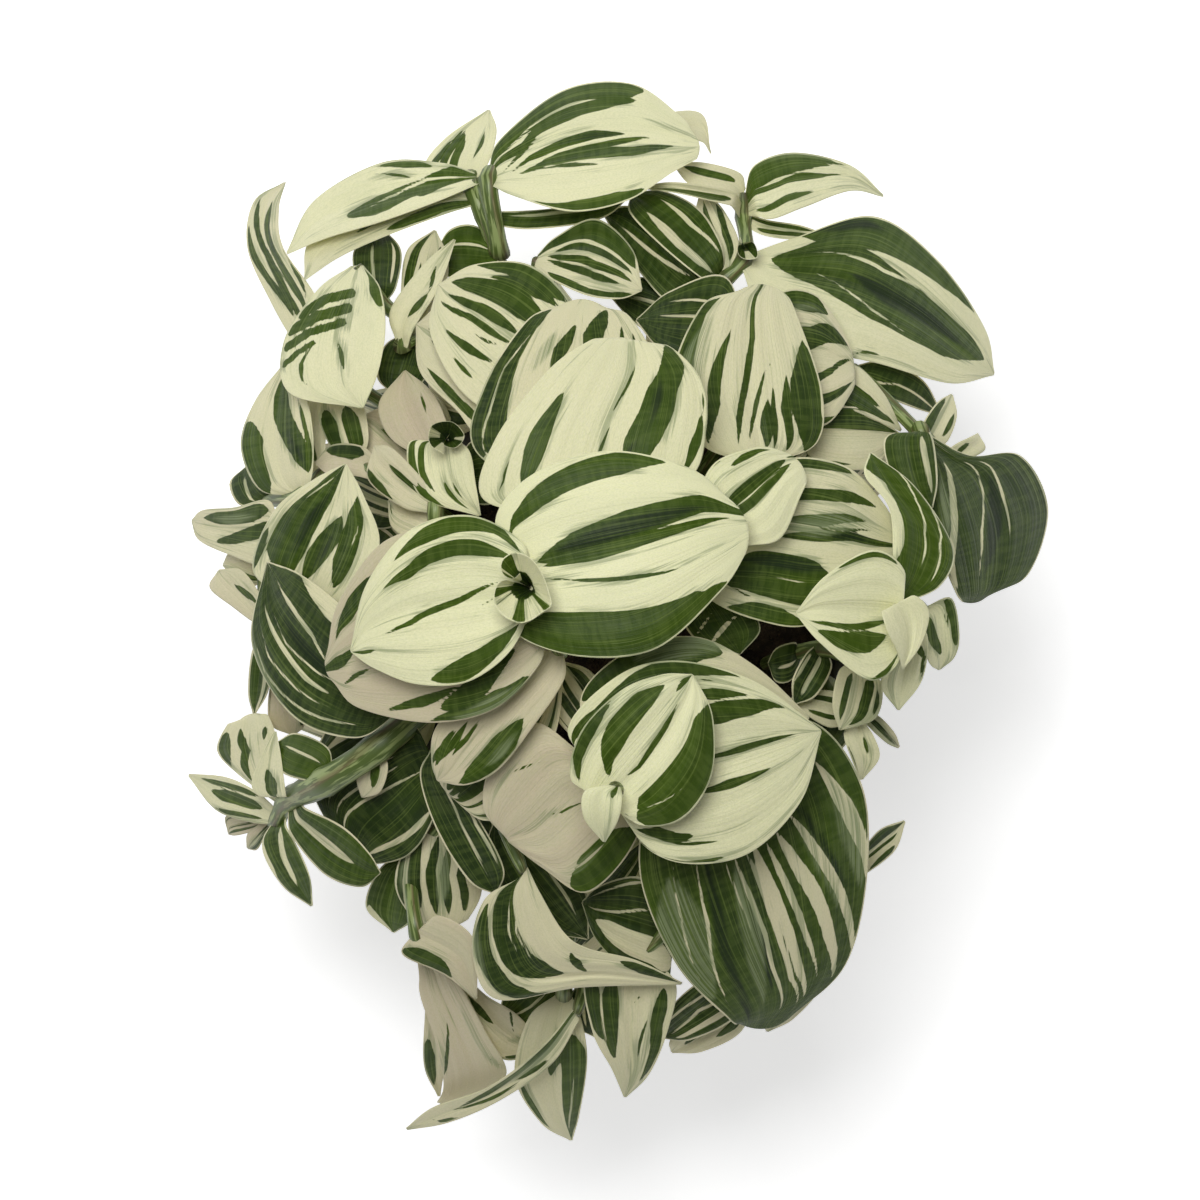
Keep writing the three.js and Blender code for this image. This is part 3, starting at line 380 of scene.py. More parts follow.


# Each leafy stem: its root in the soil, the way it runs, its leaves in order along it, its skirt of leaves
# over the rim of the pot, as (direction in degrees, reach, height of the tip), and how much it thickens.
# A leaf has its layer over the dome, its base, tip and two margins in plan, then its look: age turns cream to
# buff and deep darkens green, and on leaves that lie in shade both also hold painted shade; blunt is half the
# width of its tip, and share is how much of it loose bands cover.
# Strokes are (width, x, y, x, y, ...). Bands are green, or pale on a leaf marked green; pales are thin lines
# inside a band, veils grey it, darks deepen it, and crosses run across the leaf. The stripes of a cup are
# (place round it, half width), as shares.
shoots = {
    "crown_left": leafyStem((-10, -6), [(-13, -8, 150)], [
        leaf(1.9, (-15, -10), (-43, -45.5), [(-16, -30), (-25, -48), (-34, -52)],
             [(-30, -22), (-40, -33), (-45, -41)], age=0.6, deep=0.6, share=0.6),
        leaf(3.4, (-15, -9), (-45.5, -42), [(-14, -17), (-22, -29), (-30, -39), (-38, -43)],
             [(-25, -12), (-38, -20), (-46, -29), (-47, -37)], age=0.75, deep=0.45,
             bands=((5, -24, -26, -29, -33, -34, -38.5, -40, -42.5), (1.6, -41, -29, -44, -34, -47, -38),
                    (1.8, -38, -27.5, -41.5, -33, -46, -38.3), (1.2, -35, -27, -38.5, -32, -42, -36)),
             veils=((3, -26, -30, -33, -38),)),
        leaf(4.2, (-19, -3), (-73.5, -14), [(-20, -13), (-31, -24), (-47, -27.5), (-65, -24)],
             [(-26, 9), (-41, 20), (-58, 18), (-70, 3)], age=0.85, deep=0.6, blunt=4,
             bands=((5, -61, 9, -66, 3, -69.5, -3, -71, -7), (2.8, -66, -9, -69, -12, -72.5, -16),
                    (1.6, -62, -14, -65, -15.5, -69, -18),
                    (2.6, -40, -18.5, -47, -21.5, -53, -23, -59, -24.5),
                    (5.2, -26, -9, -33, -16, -38, -20.5, -44.5, -24),
                    (4, -18, -14, -24, -18, -30, -21.5, -36, -25, -47, -27)),
             veils=((3, -20, -15, -30, -21.5, -42, -26.5),)),
        leaf(5, (-22, 6), (31.5, 22), [(-31, 22), (-22, 34), (-3, 40), (17, 36)],
             [(-26, -5), (-10, -11), (9, -9), (25, 5)], age=0, deep=0.25, blunt=7,
             bands=((4.8, -28, 15, -27, 22, -21, 27.5, -12, 33.5, 0, 37, 12, 37.3),
                    (5.2, -20, 12.5, -8, 17.5, 2, 21.5, 12, 24.8, 20, 26.8, 28, 27.2),
                    (2.3, -19, 11.3, -5, 14.5, 5, 17.8, 15, 20.8, 27, 23.3),
                    (0.9, -18, 8.2, -5, 8, 5, 9, 14, 10.7),
                    (21, -25, -6, -12, -11, 0, -12, 12, -10, 22, -3, 28, 7)),
             darks=((4, -16, 15, -2, 20, 10, 23.5, 20, 26),)),
        leaf(5.4, (-23, 7), (-67, -9.7), [(-26, -8), (-37, -17), (-50, -18), (-61, -14)],
             [(-24, 17), (-37, 24), (-52, 20.5), (-63, 7)], age=0, deep=0.2,
             bands=((3.6, -25, 15, -31, 21, -39, 22, -48, 19, -56, 13),
                    (3.4, -27, 13.5, -33, 15.5, -40, 16, -48, 13.5, -53, 9.8, -58.5, 6),
                    (1.4, -30, 7.5, -37, 4.3, -42, 2.2, -47, 0, -52, -2.5, -58.5, -5.5),
                    (1.1, -30.5, 4, -34.5, 1.3), (5, -25, -3, -30, -8, -35, -12, -41, -15, -47, -16.7),
                    (0.8, -61, -9.5, -64, -10, -67, -10))),
        cup(5.7, (-24, 7),
            [(-24.8, 9.7), (-26.3, 8.4), (-28.4, 8.9), (-29.6, 10.8), (-29, 13.2), (-26.5, 14.7),
             (-23.5, 14.2), (-20.8, 12), (-18.8, 8.5), (-17.6, 5), (-17, 1.6), (-19.5, -0.3), (-22, -2),
             (-25, -2.7), (-28.3, -1.4), (-30.6, 1), (-31.3, 4), (-30.4, 6.8), (-28.6, 7.9), (-26.6, 7.5)], 9,
            age=0.1, deep=0.1,
            stripes=((0.77, 0.06), (0.58, 0.09), (-0.095, 0.03), (-0.37, 0.055), (-0.61, 0.015),
                     (-0.71, 0.045))),
    ]),
    "crown_front": leafyStem((-1, -36), [(-1, -41, 150)], [
        leaf(2.6, (0, -45), (-28, -57), [(5, -53), (0, -63), (-9, -70), (-19, -64)],
             [(-11, -34), (-22, -27.5), (-32, -38), (-34, -49)], age=0.85, deep=0.35,
             bands=((12, 4, -54, 0, -61, -6, -67, -12, -68.5), (0.8, -9, -47.5, -14, -49.5, -18, -50.5),
                    (0.8, -20, -37.5, -24, -38.5, -28, -40.5)),
             pales=((0.8, -3, -57, -8, -61.5, -13, -64.5),), veils=((2.4, -5, -58.5, -10, -63, -15, -65),)),
        leaf(0.9, (-1, -37), (-16, -12), [(-10, -33), (-18, -23)], [(-2, -25), (-7, -15)], age=0.6, deep=0.9,
             share=0.75),
        leaf(3.2, (2, -43), (47, -26), [(-10, -23), (1, -10), (18, -6), (33, -13)],
             [(8, -46), (20, -47), (32, -42), (42, -34)], deep=0.7,
             bands=((13, -10, -22, 0, -11, 10, -7, 18, -6.5, 25, -10),),
             veils=((7, 4, -12, 16, -8, 30, -10),)),
        leaf(4.1, (2, -44), (50, -29.5), [(-13, -30), (-1, -16), (14, -12), (33, -17)],
             [(5, -57), (16, -62.5), (32, -60), (45, -47)], age=0.05,
             bands=((3.8, -12, -34, -6, -26, 2, -18.5, 10, -14.5, 20, -14, 33, -16.6),
                    (0.8, 19, -16.8, 25, -16.8), (3, 14, -19.5, 22, -20.2, 32, -20.6),
                    (4.2, 14, -27, 24, -25, 32, -23.6, 41, -24),
                    (1.3, 20, -36.5, 27, -35, 35, -32.5, 45, -30), (2, 18, -45, 26, -43, 32, -41, 38, -38.5),
                    (3.4, 4, -54, 10, -55, 15, -56, 19, -55), (1.2, 13, -57.8, 20, -57.5, 25, -56.8),
                    (1.6, 3, -56, 10, -61, 18, -62.7, 26, -60.8))),
        leaf(5, (-1, -44), (18, -15.5), [(-12, -42), (-10, -30), (0, -19.5), (10, -15.5)],
             [(4, -52.5), (15, -51.5), (22.5, -41), (23, -26)], age=0, deep=0.3,
             bands=((3.6, -10, -42, -10.5, -35, -7.5, -28, -2, -21.5),
                    (4.8, -3, -41, -3.5, -36, 0, -28.5, 5, -22.5, 11, -18),
                    (1.2, 1, -41, 5, -38, 9, -32, 12, -27, 14.5, -22), (1.2, 14, -19.5, 16, -17, 18, -15.8),
                    (17, 1, -50, 6, -53, 14, -51, 21, -43, 23.5, -32, 22, -23)),
             pales=((0.5, 6, -48.5, 12, -46, 15.5, -43.5),)),
        leaf(5.8, (-1.5, -43), (-4, -57), [(0.5, -46), (-0.5, -51.5)], [(-9, -44.5), (-9, -51)], droop=3,
             age=0, deep=0.1, bands=((1.2, -2.5, -43, -2, -46),)),
    ]),
    "front_right_large": leafyStem((22, -25), [(25, -30, 145)], [
        leaf(2.2, (26, -34), (37, -104.5), [(47, -27), (60, -42), (62, -64), (57, -88)],
             [(8, -47), (5, -66), (14, -88), (27, -102)], droop=3, deep=0.45, blunt=7, green=True,
             bands=((1.2, 28, -60, 32, -70, 36, -80, 38.5, -90, 40, -100),
                    (1.6, 31, -59, 36, -70, 40, -82, 43, -92, 44, -99),
                    (3, 33, -58, 38, -70, 42, -80, 45, -90, 46, -97),
                    (1.8, 36, -57, 40, -65, 44, -74, 47, -82, 49.5, -92),
                    (3.6, 39, -55, 44, -63, 49, -71, 52, -80, 53, -92),
                    (2.6, 42, -50.5, 48, -58, 54, -68, 57, -76, 58, -88),
                    (4, 49, -38, 54, -45, 58, -52, 61, -60, 61.5, -66), (0.9, 26, -62, 30, -72, 33, -80),
                    (0.9, 19, -62, 22, -78, 27, -98), (0.7, 13, -62, 15, -76, 20, -92)),
             darks=((2.6, 21, -62, 24, -74, 28, -90, 32, -103), (3, 32, -72, 36, -84, 38, -96),
                    (3, 44, -48, 50, -58, 56, -68)),
             veils=((14, 12, -66, 16, -82, 23, -96), (5, 29, -64, 33, -80, 36, -98),
                    (6, 52, -42, 58, -56, 60, -68), (4, 44, -52, 50, -62, 55, -74))),
    ]),
    "crown_right": leafyStem((15, 5), [(17, 7, 150)], [
        leaf(1.6, (19, 7), (30, -10.5), [(30, 3), (35, -4)], [(15, 0), (19, -7)], deep=0.6, green=True,
             bands=((1.9, 23, -8, 27, -2.5, 31, 1), (1.2, 19, -6, 23, 0))),
        leaf(2.7, (18, 9), (71, 16), [(24, 29), (40, 38), (56, 36.5), (66, 27)],
             [(24, 2), (34, -2), (46, -3.5), (61, 3)], age=0.3, blunt=3,
             bands=((3.2, 34, 38, 44, 38, 50, 37.5, 58, 34.4),
                    (2.6, 34, 27, 40, 28.6, 48, 29.3, 54, 29, 60, 27.8, 64.5, 26),
                    (2.6, 40, 23, 50, 22.8, 61.5, 22.6), (1.7, 40, 18.8, 50, 18.8, 58, 18.8, 70, 18.2),
                    (0.8, 50, 20.6, 58, 20.4, 63.5, 20.3), (10, 25, 9, 35, 9.5, 45, 7.5, 55, 6),
                    (6, 26, 1, 33, -1, 40, -2.8, 47, -3.5)),
             pales=((0.5, 33, 9, 40, 8.5, 48, 7), (1.1, 28, 6.2, 35, 3.5, 45, 1.6)),
             darks=((2.4, 53, 18.8, 60, 18.8, 66, 18.5), (3, 30, 13, 40, 12.5, 52, 11)),
             veils=((6, 40, 21.5, 50, 21.5, 60, 21.5),)),
        leaf(3.7, (21, 17), (44.5, 37.5), [(20, 30), (24, 37.5), (34, 41)],
             [(32, 16.5), (40, 18.5), (45, 29)], age=0.05, deep=0.4, blunt=5,
             bands=((2.6, 26, 25, 29, 28.5, 33, 32, 38, 35.7, 41, 37.8),
                    (1.8, 28, 23, 31, 26, 35, 29.5, 39, 33.5, 42.5, 37),
                    (1.4, 27, 35.5, 30, 38, 34, 40, 37.5, 40.6), (1.6, 23, 36, 26, 39),
                    (0.8, 41.5, 38.6, 43.5, 39.3))),
    ]),
    "crown_back": leafyStem((-6, 20), [(-9, 24, 145)], [
        leaf(3, (-13, 27), (-9, 78), [(-36, 40), (-34, 56), (-24, 72)], [(12, 42), (11, 58), (3, 73)],
             age=0.45, deep=0.75, blunt=6,
             bands=((6.5, -34, 38, -33, 45, -31.5, 55, -28.5, 63, -23.5, 70, -17, 76),
                    (4, -17, 60, -14.5, 66, -11, 72), (4.2, -8, 62, -6.5, 69, -3.5, 75.5),
                    (1.8, 0, 62, 0.3, 71), (1, 4, 64, 3, 70)),
             pales=((0.4, -32.5, 38, -32.5, 50, -29, 61, -22, 70),), veils=((5, -22, 60, -16, 70),)),
        leaf(4, (-12, 23), (2, 68), [(-34, 28), (-31, 43), (-18, 60), (-8, 67.5)],
             [(16, 32), (21.5, 46), (20, 58), (12, 66.5)], droop=2, age=0.2, deep=0.35, blunt=6,
             bands=((4.6, -24, 31, -22, 37, -19.5, 45, -16.5, 51, -14, 55), (0.8, -30, 29, -29, 33, -27, 39),
                    (1.2, -5.5, 39, -3.5, 43.8), (6.6, 2, 34, 5, 42, 9, 50, 10.5, 56, 11.3, 66.5),
                    (2.6, 15, 34, 18, 40, 19.6, 45, 20, 49.5), (0.8, 20.5, 49, 20.3, 55),
                    (0.7, -2, 50, 4, 62)), darks=((3, 1, 38, 4, 43), (2.5, 8, 47, 10, 58))),
    ]),
    "back_left": leafyStem((-14, 36), [(-18, 48, 135)], [
        leaf(1.3, (-20, 54), (-51, 72), [(-34, 44), (-41, 50.5), (-50, 60)],
             [(-24, 64), (-33, 74), (-44, 77)], deep=0.6,
             bands=((2.2, -26, 52, -38, 59, -47, 68), (1.8, -28, 62, -46, 74), (1.6, -26, 57, -48, 71),
                    (2, -30, 48, -40, 52, -48, 61))),
        leaf(2.1, (-19, 58), (-45.5, 82), [(-29, 49), (-40, 55.5), (-47.5, 70)],
             [(-12, 75), (-22, 86.5), (-36, 87)], age=0.3, deep=0.55,
             bands=((6, -12, 77, -18, 83, -26, 87.5, -36, 87), (2.2, -15, 76, -20, 79, -26, 82.5, -33, 84),
                    (4.6, -18, 71, -24, 76, -32, 80.5, -42, 82.5),
                    (2.2, -25, 69, -28, 71.5, -35, 76, -43, 79.5),
                    (1.4, -27, 67, -30, 68.5, -37, 73.5, -45, 78), (1.8, -32, 62.5, -38, 66, -44, 71),
                    (1.1, -29, 66, -33, 67.5, -36.5, 69.5), (1.5, -36, 58, -42, 64))),
    ]),
    "back_inner": leafyStem((-4, 41), [(-12, 60, 122), (-19, 80, 126)], [
        leaf(1.2, (-21, 88), (5.5, 80.5), [(-16, 94), (-6, 98.5), (3, 91)], [(-17, 83), (-8, 79), (0, 78.2)],
             age=0.35,
             bands=((7, -19, 91, -13, 96, -5, 97, 1, 92.5, 4, 86),
                    (1.6, -17, 90, -12, 91.5, -6, 90.5, -1, 88, 3, 84.5),
                    (1.8, -18, 89, -12, 88.5, -6, 86.8, 0, 84.5, 3, 82.5),
                    (1.6, -18, 88, -12, 86, -6, 84, 0, 82),
                    (4, -18, 85, -14, 82, -8, 78.5, -2, 78, 3, 79.5))),
    ]),
    "back_right": leafyStem((27, 22), [(32, 31, 140)], [
        leaf(1.9, (35, 37), (35, 82), [(20, 42), (13, 58), (20, 76)], [(49, 42), (50.5, 55), (44, 75)],
             age=0.35, deep=0.6, blunt=6,
             bands=((5, 16, 50, 15, 62, 19, 74, 25, 79), (2.6, 22, 42, 23.5, 52, 24, 60, 26, 66, 27.5, 70),
                    (1.3, 29.5, 42, 31, 55, 33, 68, 36.5, 81), (0.9, 32, 42, 34, 52, 36, 60, 38, 63),
                    (2.8, 36.5, 41, 36.5, 48, 36.8, 53), (1.2, 38.4, 41, 38.3, 50, 38.2, 56.5),
                    (2, 41.3, 40, 41.3, 50, 41.5, 60), (6, 46, 40, 46.5, 50, 46, 58, 45.5, 67)),
             veils=((6, 18, 50, 18.5, 62, 23, 74),)),
    ]),
    "back_right_low": leafyStem((21, 36), [(30, 50, 128)], [
        leaf(1.1, (31, 62), (4, 73), [(21, 60), (10, 65.5)], [(27, 83.5), (13, 80.5)], deep=0.8, green=True,
             bands=((0.8, 26, 70, 10, 74), (0.7, 26, 74, 12, 77.5))),
        leaf(1.1, (34, 62), (59, 60), [(39, 79), (49, 79.5), (57, 68)], [(40, 48), (51, 46.5), (58, 55)],
             age=0.45, deep=0.65,
             bands=((5, 38, 79, 45, 78.5, 52, 74.5), (4.6, 40, 67.5, 48, 68.5, 57, 66.5),
                    (1.6, 42, 56, 48, 58, 53, 60.5, 58, 63), (2, 45, 51, 50, 53, 54, 54.5, 58, 57.5),
                    (1.4, 46, 48, 51, 48, 56, 50.5)), veils=((2, 42, 75.8, 50, 75.8),)),
    ], skirt=[(55, 84, 74)]),
    "back_right_outer": leafyStem((11, 45), [(17, 60, 121), (22, 73, 124)], [
        leaf(-0.9, (20, 70), (-3, 80), [(12, 68), (4, 72)], [(14, 80), (5, 84)], deep=0.8, green=True,
             bands=((1, 18, 74, 10, 77, 2, 79),)),
        leaf(-0.4, (23, 80), (-4, 100), [(13, 77), (5, 85), (-1, 94)], [(21, 91), (12, 98.5), (2, 102)],
             age=0.4, deep=0.65, green=True,
             bands=((1.2, 21, 88, 12, 95, 3, 101), (0.9, 18, 84, 8, 90, 0, 97))),
        leaf(0.4, (25, 83), (3, 105), [(19, 84.5), (10, 92), (2.5, 100)],
             [(25.5, 92), (20, 101), (11, 105.7)], age=0.35, deep=0.4, green=True,
             bands=((2, 23, 85, 15, 92, 7, 100), (1, 25, 90, 18, 97, 11, 103))),
        leaf(0.2, (26, 84), (20.5, 106), [(22, 91), (19, 99)], [(30, 92), (26, 101)], age=0.35,
             bands=((1.2, 25, 88, 23, 96, 21, 103), (1.4, 27.5, 88, 26.5, 95, 24, 103))),
        leaf(0.4, (31, 88), (94.5, 60), [(44, 94), (64, 99.7), (80, 89), (92, 72)],
             [(35, 77), (51, 66), (66, 62), (83, 57.5)], droop=4, age=0.1, deep=0.25,
             bands=((12, 42, 96, 52, 98.5, 60, 99, 67, 98, 76, 93.5, 85, 86.5, 92, 79, 97, 71),
                    (11.5, 38, 88.6, 48, 88.2, 57, 85.5, 66, 80, 75, 74, 84, 68, 92, 63.5),
                    (1.2, 57, 64.5, 61, 65, 66, 64.3)),
             pales=((0.9, 50, 90.6, 58, 89.6, 66, 86, 74, 82.2, 79, 79),
                    (0.5, 48, 85.5, 56, 81.5, 64, 75.5, 72, 70)),
             darks=((4, 58, 85, 68, 79, 78, 73, 86, 67.5), (3, 44, 95, 56, 97.5, 66, 96.5))),
        cup(0.6, (31, 92), [(30, 94), (29.5, 90), (31.5, 88.3), (34.5, 89), (33.5, 92.5), (31, 92.5)], 7,
            age=0.2, deep=0.6, stripes=((0.5, 0.3), (-0.4, 0.3))),
        leaf(0.1, (31, 99), (51, 95), [(37, 98.5), (45, 97.3)], [(36, 94.5), (44, 93.5)], age=0.2, deep=0.3,
             bands=((1, 33, 98.5, 42, 97, 49, 95.6), (1, 34, 96.5, 43, 95, 48, 94.8))),
        leaf(1, (31, 104), (66.5, 105), [(34, 112.5), (44, 115.7), (58, 112.7)],
             [(37, 98.5), (46, 101.5), (58, 106)], droop=3, age=0.05, deep=0,
             bands=((6.5, 31, 105, 35, 110.5, 41, 114, 48, 115, 55, 113.8),
                    (1.2, 33, 103, 40, 107.5, 46, 110, 55, 110), (1.4, 34, 101, 42, 104, 50, 106),
                    (0.9, 38, 108.5, 48, 112, 58, 112.5), (0.8, 40, 107.5, 50, 109.6, 57, 110.3))),
        leaf(1.1, (30.5, 103), (5, 106.5), [(25, 102.5), (14, 105)], [(27, 106), (14, 107.8)], fold=3,
             age=0.4, deep=0.4, bands=((1.2, 28, 103.5, 8, 106),)),
        leaf(0.4, (31, 105), (13.5, 112.5), [(26, 105.5), (18, 107)], [(30, 110.5), (21, 113)], age=0.4,
             deep=0.4, bands=((1.6, 29, 108, 16, 112),)),
    ], skirt=[(76, 88, 82)]),
    "right_back": leafyStem((34, 28), [(40, 38, 134)], [
        leaf(0.5, (44, 45), (70, 44.7), [(50, 50.5), (61, 51)], [(50, 37), (63, 36)], age=0.4, deep=0.65,
             bands=((5, 46, 48, 52, 48.7, 60, 48.7, 69, 45.5), (1, 50, 38, 58, 37)),
             pales=((0.5, 57, 51, 63, 48.5, 69, 46),)),
        leaf(0.5, (51, 57), (70.5, 45.5), [(58.5, 62), (66, 55)], [(55, 52), (63, 48.5)], age=0.3,
             bands=((2.2, 55, 57, 61, 54, 65, 51.5), (2, 54, 54, 60, 52, 66, 49, 69, 47))),
        leaf(-0.3, (58, 60.5), (81, 49.5), [(66, 62.8), (76, 58.5)], [(63, 55.5), (73, 51.5)], deep=0.8,
             green=True, bands=((0.6, 60, 58, 70, 57, 79, 51),)),
        leaf(1.4, (76, 44), (90, 2.5), [(88, 39.3), (101, 39.3), (108, 26), (103, 9.5)],
             [(77, 38), (77.5, 27), (80, 15), (84, 5)], droop=4, age=0.35, deep=0.6, blunt=4, green=True,
             bands=((2, 81, 38, 83, 32, 84, 22, 83, 12, 84.5, 6), (0.6, 86, 38, 91, 30, 91, 20, 90, 8),
                    (0.6, 90, 38, 96.5, 28, 97.5, 16)), veils=((3, 80.5, 34, 81.5, 24, 81, 14),),
             darks=((4, 93, 34, 94, 22, 92, 10),)),
        leaf(2.2, (75, 46), (78, 26), [(78.5, 43), (79.5, 33)], [(66, 43), (69, 32)], age=0.35, deep=0.4,
             green=True, bands=((1.4, 75.5, 44, 76.5, 38, 78, 30),)),
        leaf(0.6, (77, 43), (83.5, 54.7), [(75.8, 47), (79.5, 52.5)], [(82, 42.5), (84.7, 49)], age=0.3,
             deep=0.4, bands=((2.2, 76, 43, 78, 48, 82, 54), (1, 81, 44, 84, 50))),
        leaf(0.3, (82, 38), (90.3, 44.8), [(84, 42), (88, 44)], [(88, 38.5), (92, 41)], age=0.3, deep=0.3,
             bands=((1, 84, 39, 88, 43),)),
    ], skirt=[(36, 84, 78), (27, 82, 80)]),
    "right_rosette": leafyStem((44, 2), [(54, 1, 120), (67, 0, 130)], [
        leaf(1.9, (75, 1), (80, -14.5), [(83, 3.5), (85, -5), (84, -11)], [(75, -3), (75.5, -8), (77.5, -13)],
             age=0.1, deep=0.25,
             bands=((2.2, 75.5, -1, 78, -6, 80.5, -11), (3, 81, 3, 84.5, -3, 84.5, -9),
                    (0.8, 80.5, 0, 82.3, -4))),
        leaf(2.5, (73, -2), (69.5, -24.5), [(77, -7), (75.5, -17)], [(68, -10), (65, -18)], age=0.05,
             deep=0.3,
             bands=((1.4, 73, -6, 75, -10, 78, -13.5), (1.8, 75.5, -12, 76, -18), (1, 70, -8, 68.5, -14))),
        leaf(3.1, (69, 2), (62.5, 39.7), [(68, 14), (67, 26), (61, 34)], [(80, 6.5), (83.3, 16), (74, 31)],
             age=0, deep=0.05, green=True,
             bands=((6, 60, 37, 64, 33, 67, 27, 68.5, 20, 68, 12), (0.7, 67, 38, 73, 30, 76, 20, 75, 10),
                    (0.6, 70, 37, 77, 27, 80, 17, 78, 8))),
        leaf(3.9, (68, -1), (43.7, -0.3), [(69.5, -12), (62, -17), (50, -8)], [(71, 10), (63, 15.5), (51, 9)],
             fold=2.4, age=0, deep=0.2,
             bands=((3, 51, 9.5, 56, 12.5, 62, 15.3, 68, 14, 72, 10),
                    (1.3, 47, -2, 55, -3.5, 62, -3.2, 67, -2), (4.2, 49, -4.5, 54, -6.8, 60, -7.5, 66, -6),
                    (2, 60, -17, 66, -15.5, 69.5, -10))),
        leaf(4.6, (67.5, 0), (70.5, -14), [(73, 4.2), (77, 0), (75, -8)], [(65, 0), (66.5, -5), (69, -10)],
             fold=3, age=0.15, deep=0.1),
    ], skirt=[(-8, 80, 76), (17, 92, 84)]),
    "right_front": leafyStem((37, -13), [(43, -10, 132)], [
        leaf(-0.8, (45, -10), (37, -13), [(43, -17), (39, -17.5)], [(43.5, -7.5), (39, -9)], deep=0.8,
             green=True, bands=((0.8, 44, -12, 39, -14),)),
        leaf(0.2, (50, -9), (43.5, -23), [(53, -14), (49, -21)], [(46, -11), (43, -17)], age=0.45, deep=0.7,
             green=True, bands=((1.2, 50, -11, 47, -17, 45, -21), (0.8, 48, -10, 44, -17))),
        leaf(0.9, (59, -13), (55, -29.5), [(65.5, -18), (64, -26.5)], [(54.5, -15), (53, -23)], age=0.35,
             deep=0.55,
             bands=((2.2, 62.5, -16, 61, -23, 57, -28.5), (1.4, 58, -15, 56, -22, 55, -27),
                    (1, 64.5, -19, 63, -26))),
        leaf(-0.3, (59, -25), (44, -22.5), [(53, -29), (47, -26)], [(56, -20.5), (49, -19.5)], age=0.4,
             deep=0.6, bands=((1.2, 57, -23, 47, -21.5), (1, 56, -26, 47, -24.5))),
        leaf(-0.1, (62, -26), (70, -34), [(66, -27), (69, -30.5)], [(63.5, -30), (67, -33)], deep=0.8,
             share=0.5),
        leaf(-1.2, (52, -18), (47, -37), [(60, -24), (56, -34)], [(44, -20), (41, -28)], deep=0.95,
             green=True),
        leaf(0.3, (59, -27), (60.5, -42), [(63.5, -31), (65, -36.5)], [(56, -31), (58, -37)], age=0.15,
             deep=0.3, bands=((1.2, 56, -32, 58.5, -38, 60, -41.5), (0.8, 61, -31, 62, -36))),
    ]),
    "front": leafyStem((8, -44), [(8, -62, 121), (11, -74, 128)], [
        leaf(0.6, (12, -79), (-9.5, -72.5), [(12, -93), (2, -90), (-6, -82)],
             [(14, -69), (4, -66), (-5, -68.3)], age=0.45, deep=0.75, green=True,
             bands=((0.7, 8, -67.5, 0, -68.5, -7, -71), (0.7, 8, -74.5, 0, -75, -8, -73.5),
                    (6.5, 16, -88, 8, -84.5, 2, -82.5, -6, -77))),
        leaf(0.7, (5, -86), (1.3, -122.2), [(14, -93), (12, -105), (7.5, -116)],
             [(-8.5, -90), (-7, -105), (-2, -115)], droop=3, age=0.35, deep=0.55,
             bands=((4.6, -7, -91, -6.3, -100, -4.2, -107), (3.4, -1.5, -91, -2.4, -101, -1.3, -112),
                    (1.1, 6.5, -95, 3, -98.5), (0.8, 7, -102, 5, -108, 4.5, -112),
                    (2.4, 11, -94, 9.2, -103, 8.5, -111, 5, -118)),
             pales=((0.6, -4, -91, -4.4, -102, -2.5, -110),)),
    ], skirt=[(-102, 97, 72)]),
    "front_right": leafyStem((19, -42), [(24, -60, 119), (28, -80, 117)], [
        leaf(-0.1, (29, -90), (10.5, -107), [(30, -101), (18, -107.5)], [(18, -94), (11.5, -101)], deep=0.7,
             green=True,
             bands=((0.9, 28, -94, 20, -100, 13, -106), (1.6, 29, -97, 22, -103, 14, -107),
                    (0.7, 25, -93, 18, -98, 12, -103))),
        leaf(-0.7, (32, -92), (13, -110.8), [(31, -105), (21, -110.6)], [(21, -97), (13, -107)], age=0.4,
             deep=0.4, bands=((1.6, 29, -97, 22, -104, 16, -109), (2, 31, -100, 24, -107))),
        leaf(0.5, (42, -88), (37, -105.5), [(50.5, -93.5), (44, -102)], [(38, -94), (36, -102)], age=0.4,
             deep=0.6, bands=((1.5, 40, -92, 37.5, -103), (1.5, 45, -93, 41, -101))),
    ], skirt=[(-74, 92, 84)]),
    "right_corner": leafyStem((29, -29), [(38, -40, 118), (48, -53, 121)], [
        leaf(0.1, (58, -65), (71.5, -52.5), [(61.5, -58.5), (65.5, -54.3)], [(61.5, -65.8), (69, -60)],
             age=0.35, deep=0.55,
             bands=((2.4, 60, -60.5, 64, -57, 68, -54.3, 71, -53), (0.8, 61, -62.5, 66, -58.5, 70, -55),
                    (1.6, 62, -65, 66, -62, 69, -58.5))),
    ], skirt=[(-38, 76, 78), (-62, 82, 70)]),
    "front_inner": leafyStem((-20, -34), [(-25, -44, 130)], [
        leaf(-0.1, (-30, -50), (-8, -82), [(-22, -55), (-9, -69)], [(-33, -61), (-24, -78)], deep=1,
             green=True,
             bands=((0.6, -24, -56, -17, -66, -11, -76), (0.6, -21, -58, -14, -67),
                    (0.7, -28, -58, -22, -68, -16, -78))),
        leaf(1.5, (-24, -65), (15.5, -93), [(-20, -70), (-14, -80), (-8, -84), (4, -87)],
             [(-34, -72), (-37, -85), (-31, -97), (-10, -94)], age=0.45, deep=0.8,
             bands=((5.2, -27, -67, -29, -73, -28.5, -80, -26, -86, -21, -90, -14, -90.5),
                    (3.6, -33, -73, -34.5, -79, -34, -86, -31, -91, -26, -95, -18, -95.5, -12, -93),
                    (2.4, -12.5, -85, -10.5, -88, -8, -90), (2.4, 0, -87, 6, -89.5, 12, -92.5)),
             pales=((0.5, -25.5, -72, -26, -80, -22, -87), (0.5, -27.5, -72, -27.8, -80, -24.5, -87)),
             veils=((2, -35.5, -75, -36, -84, -33.5, -92),)),
    ]),
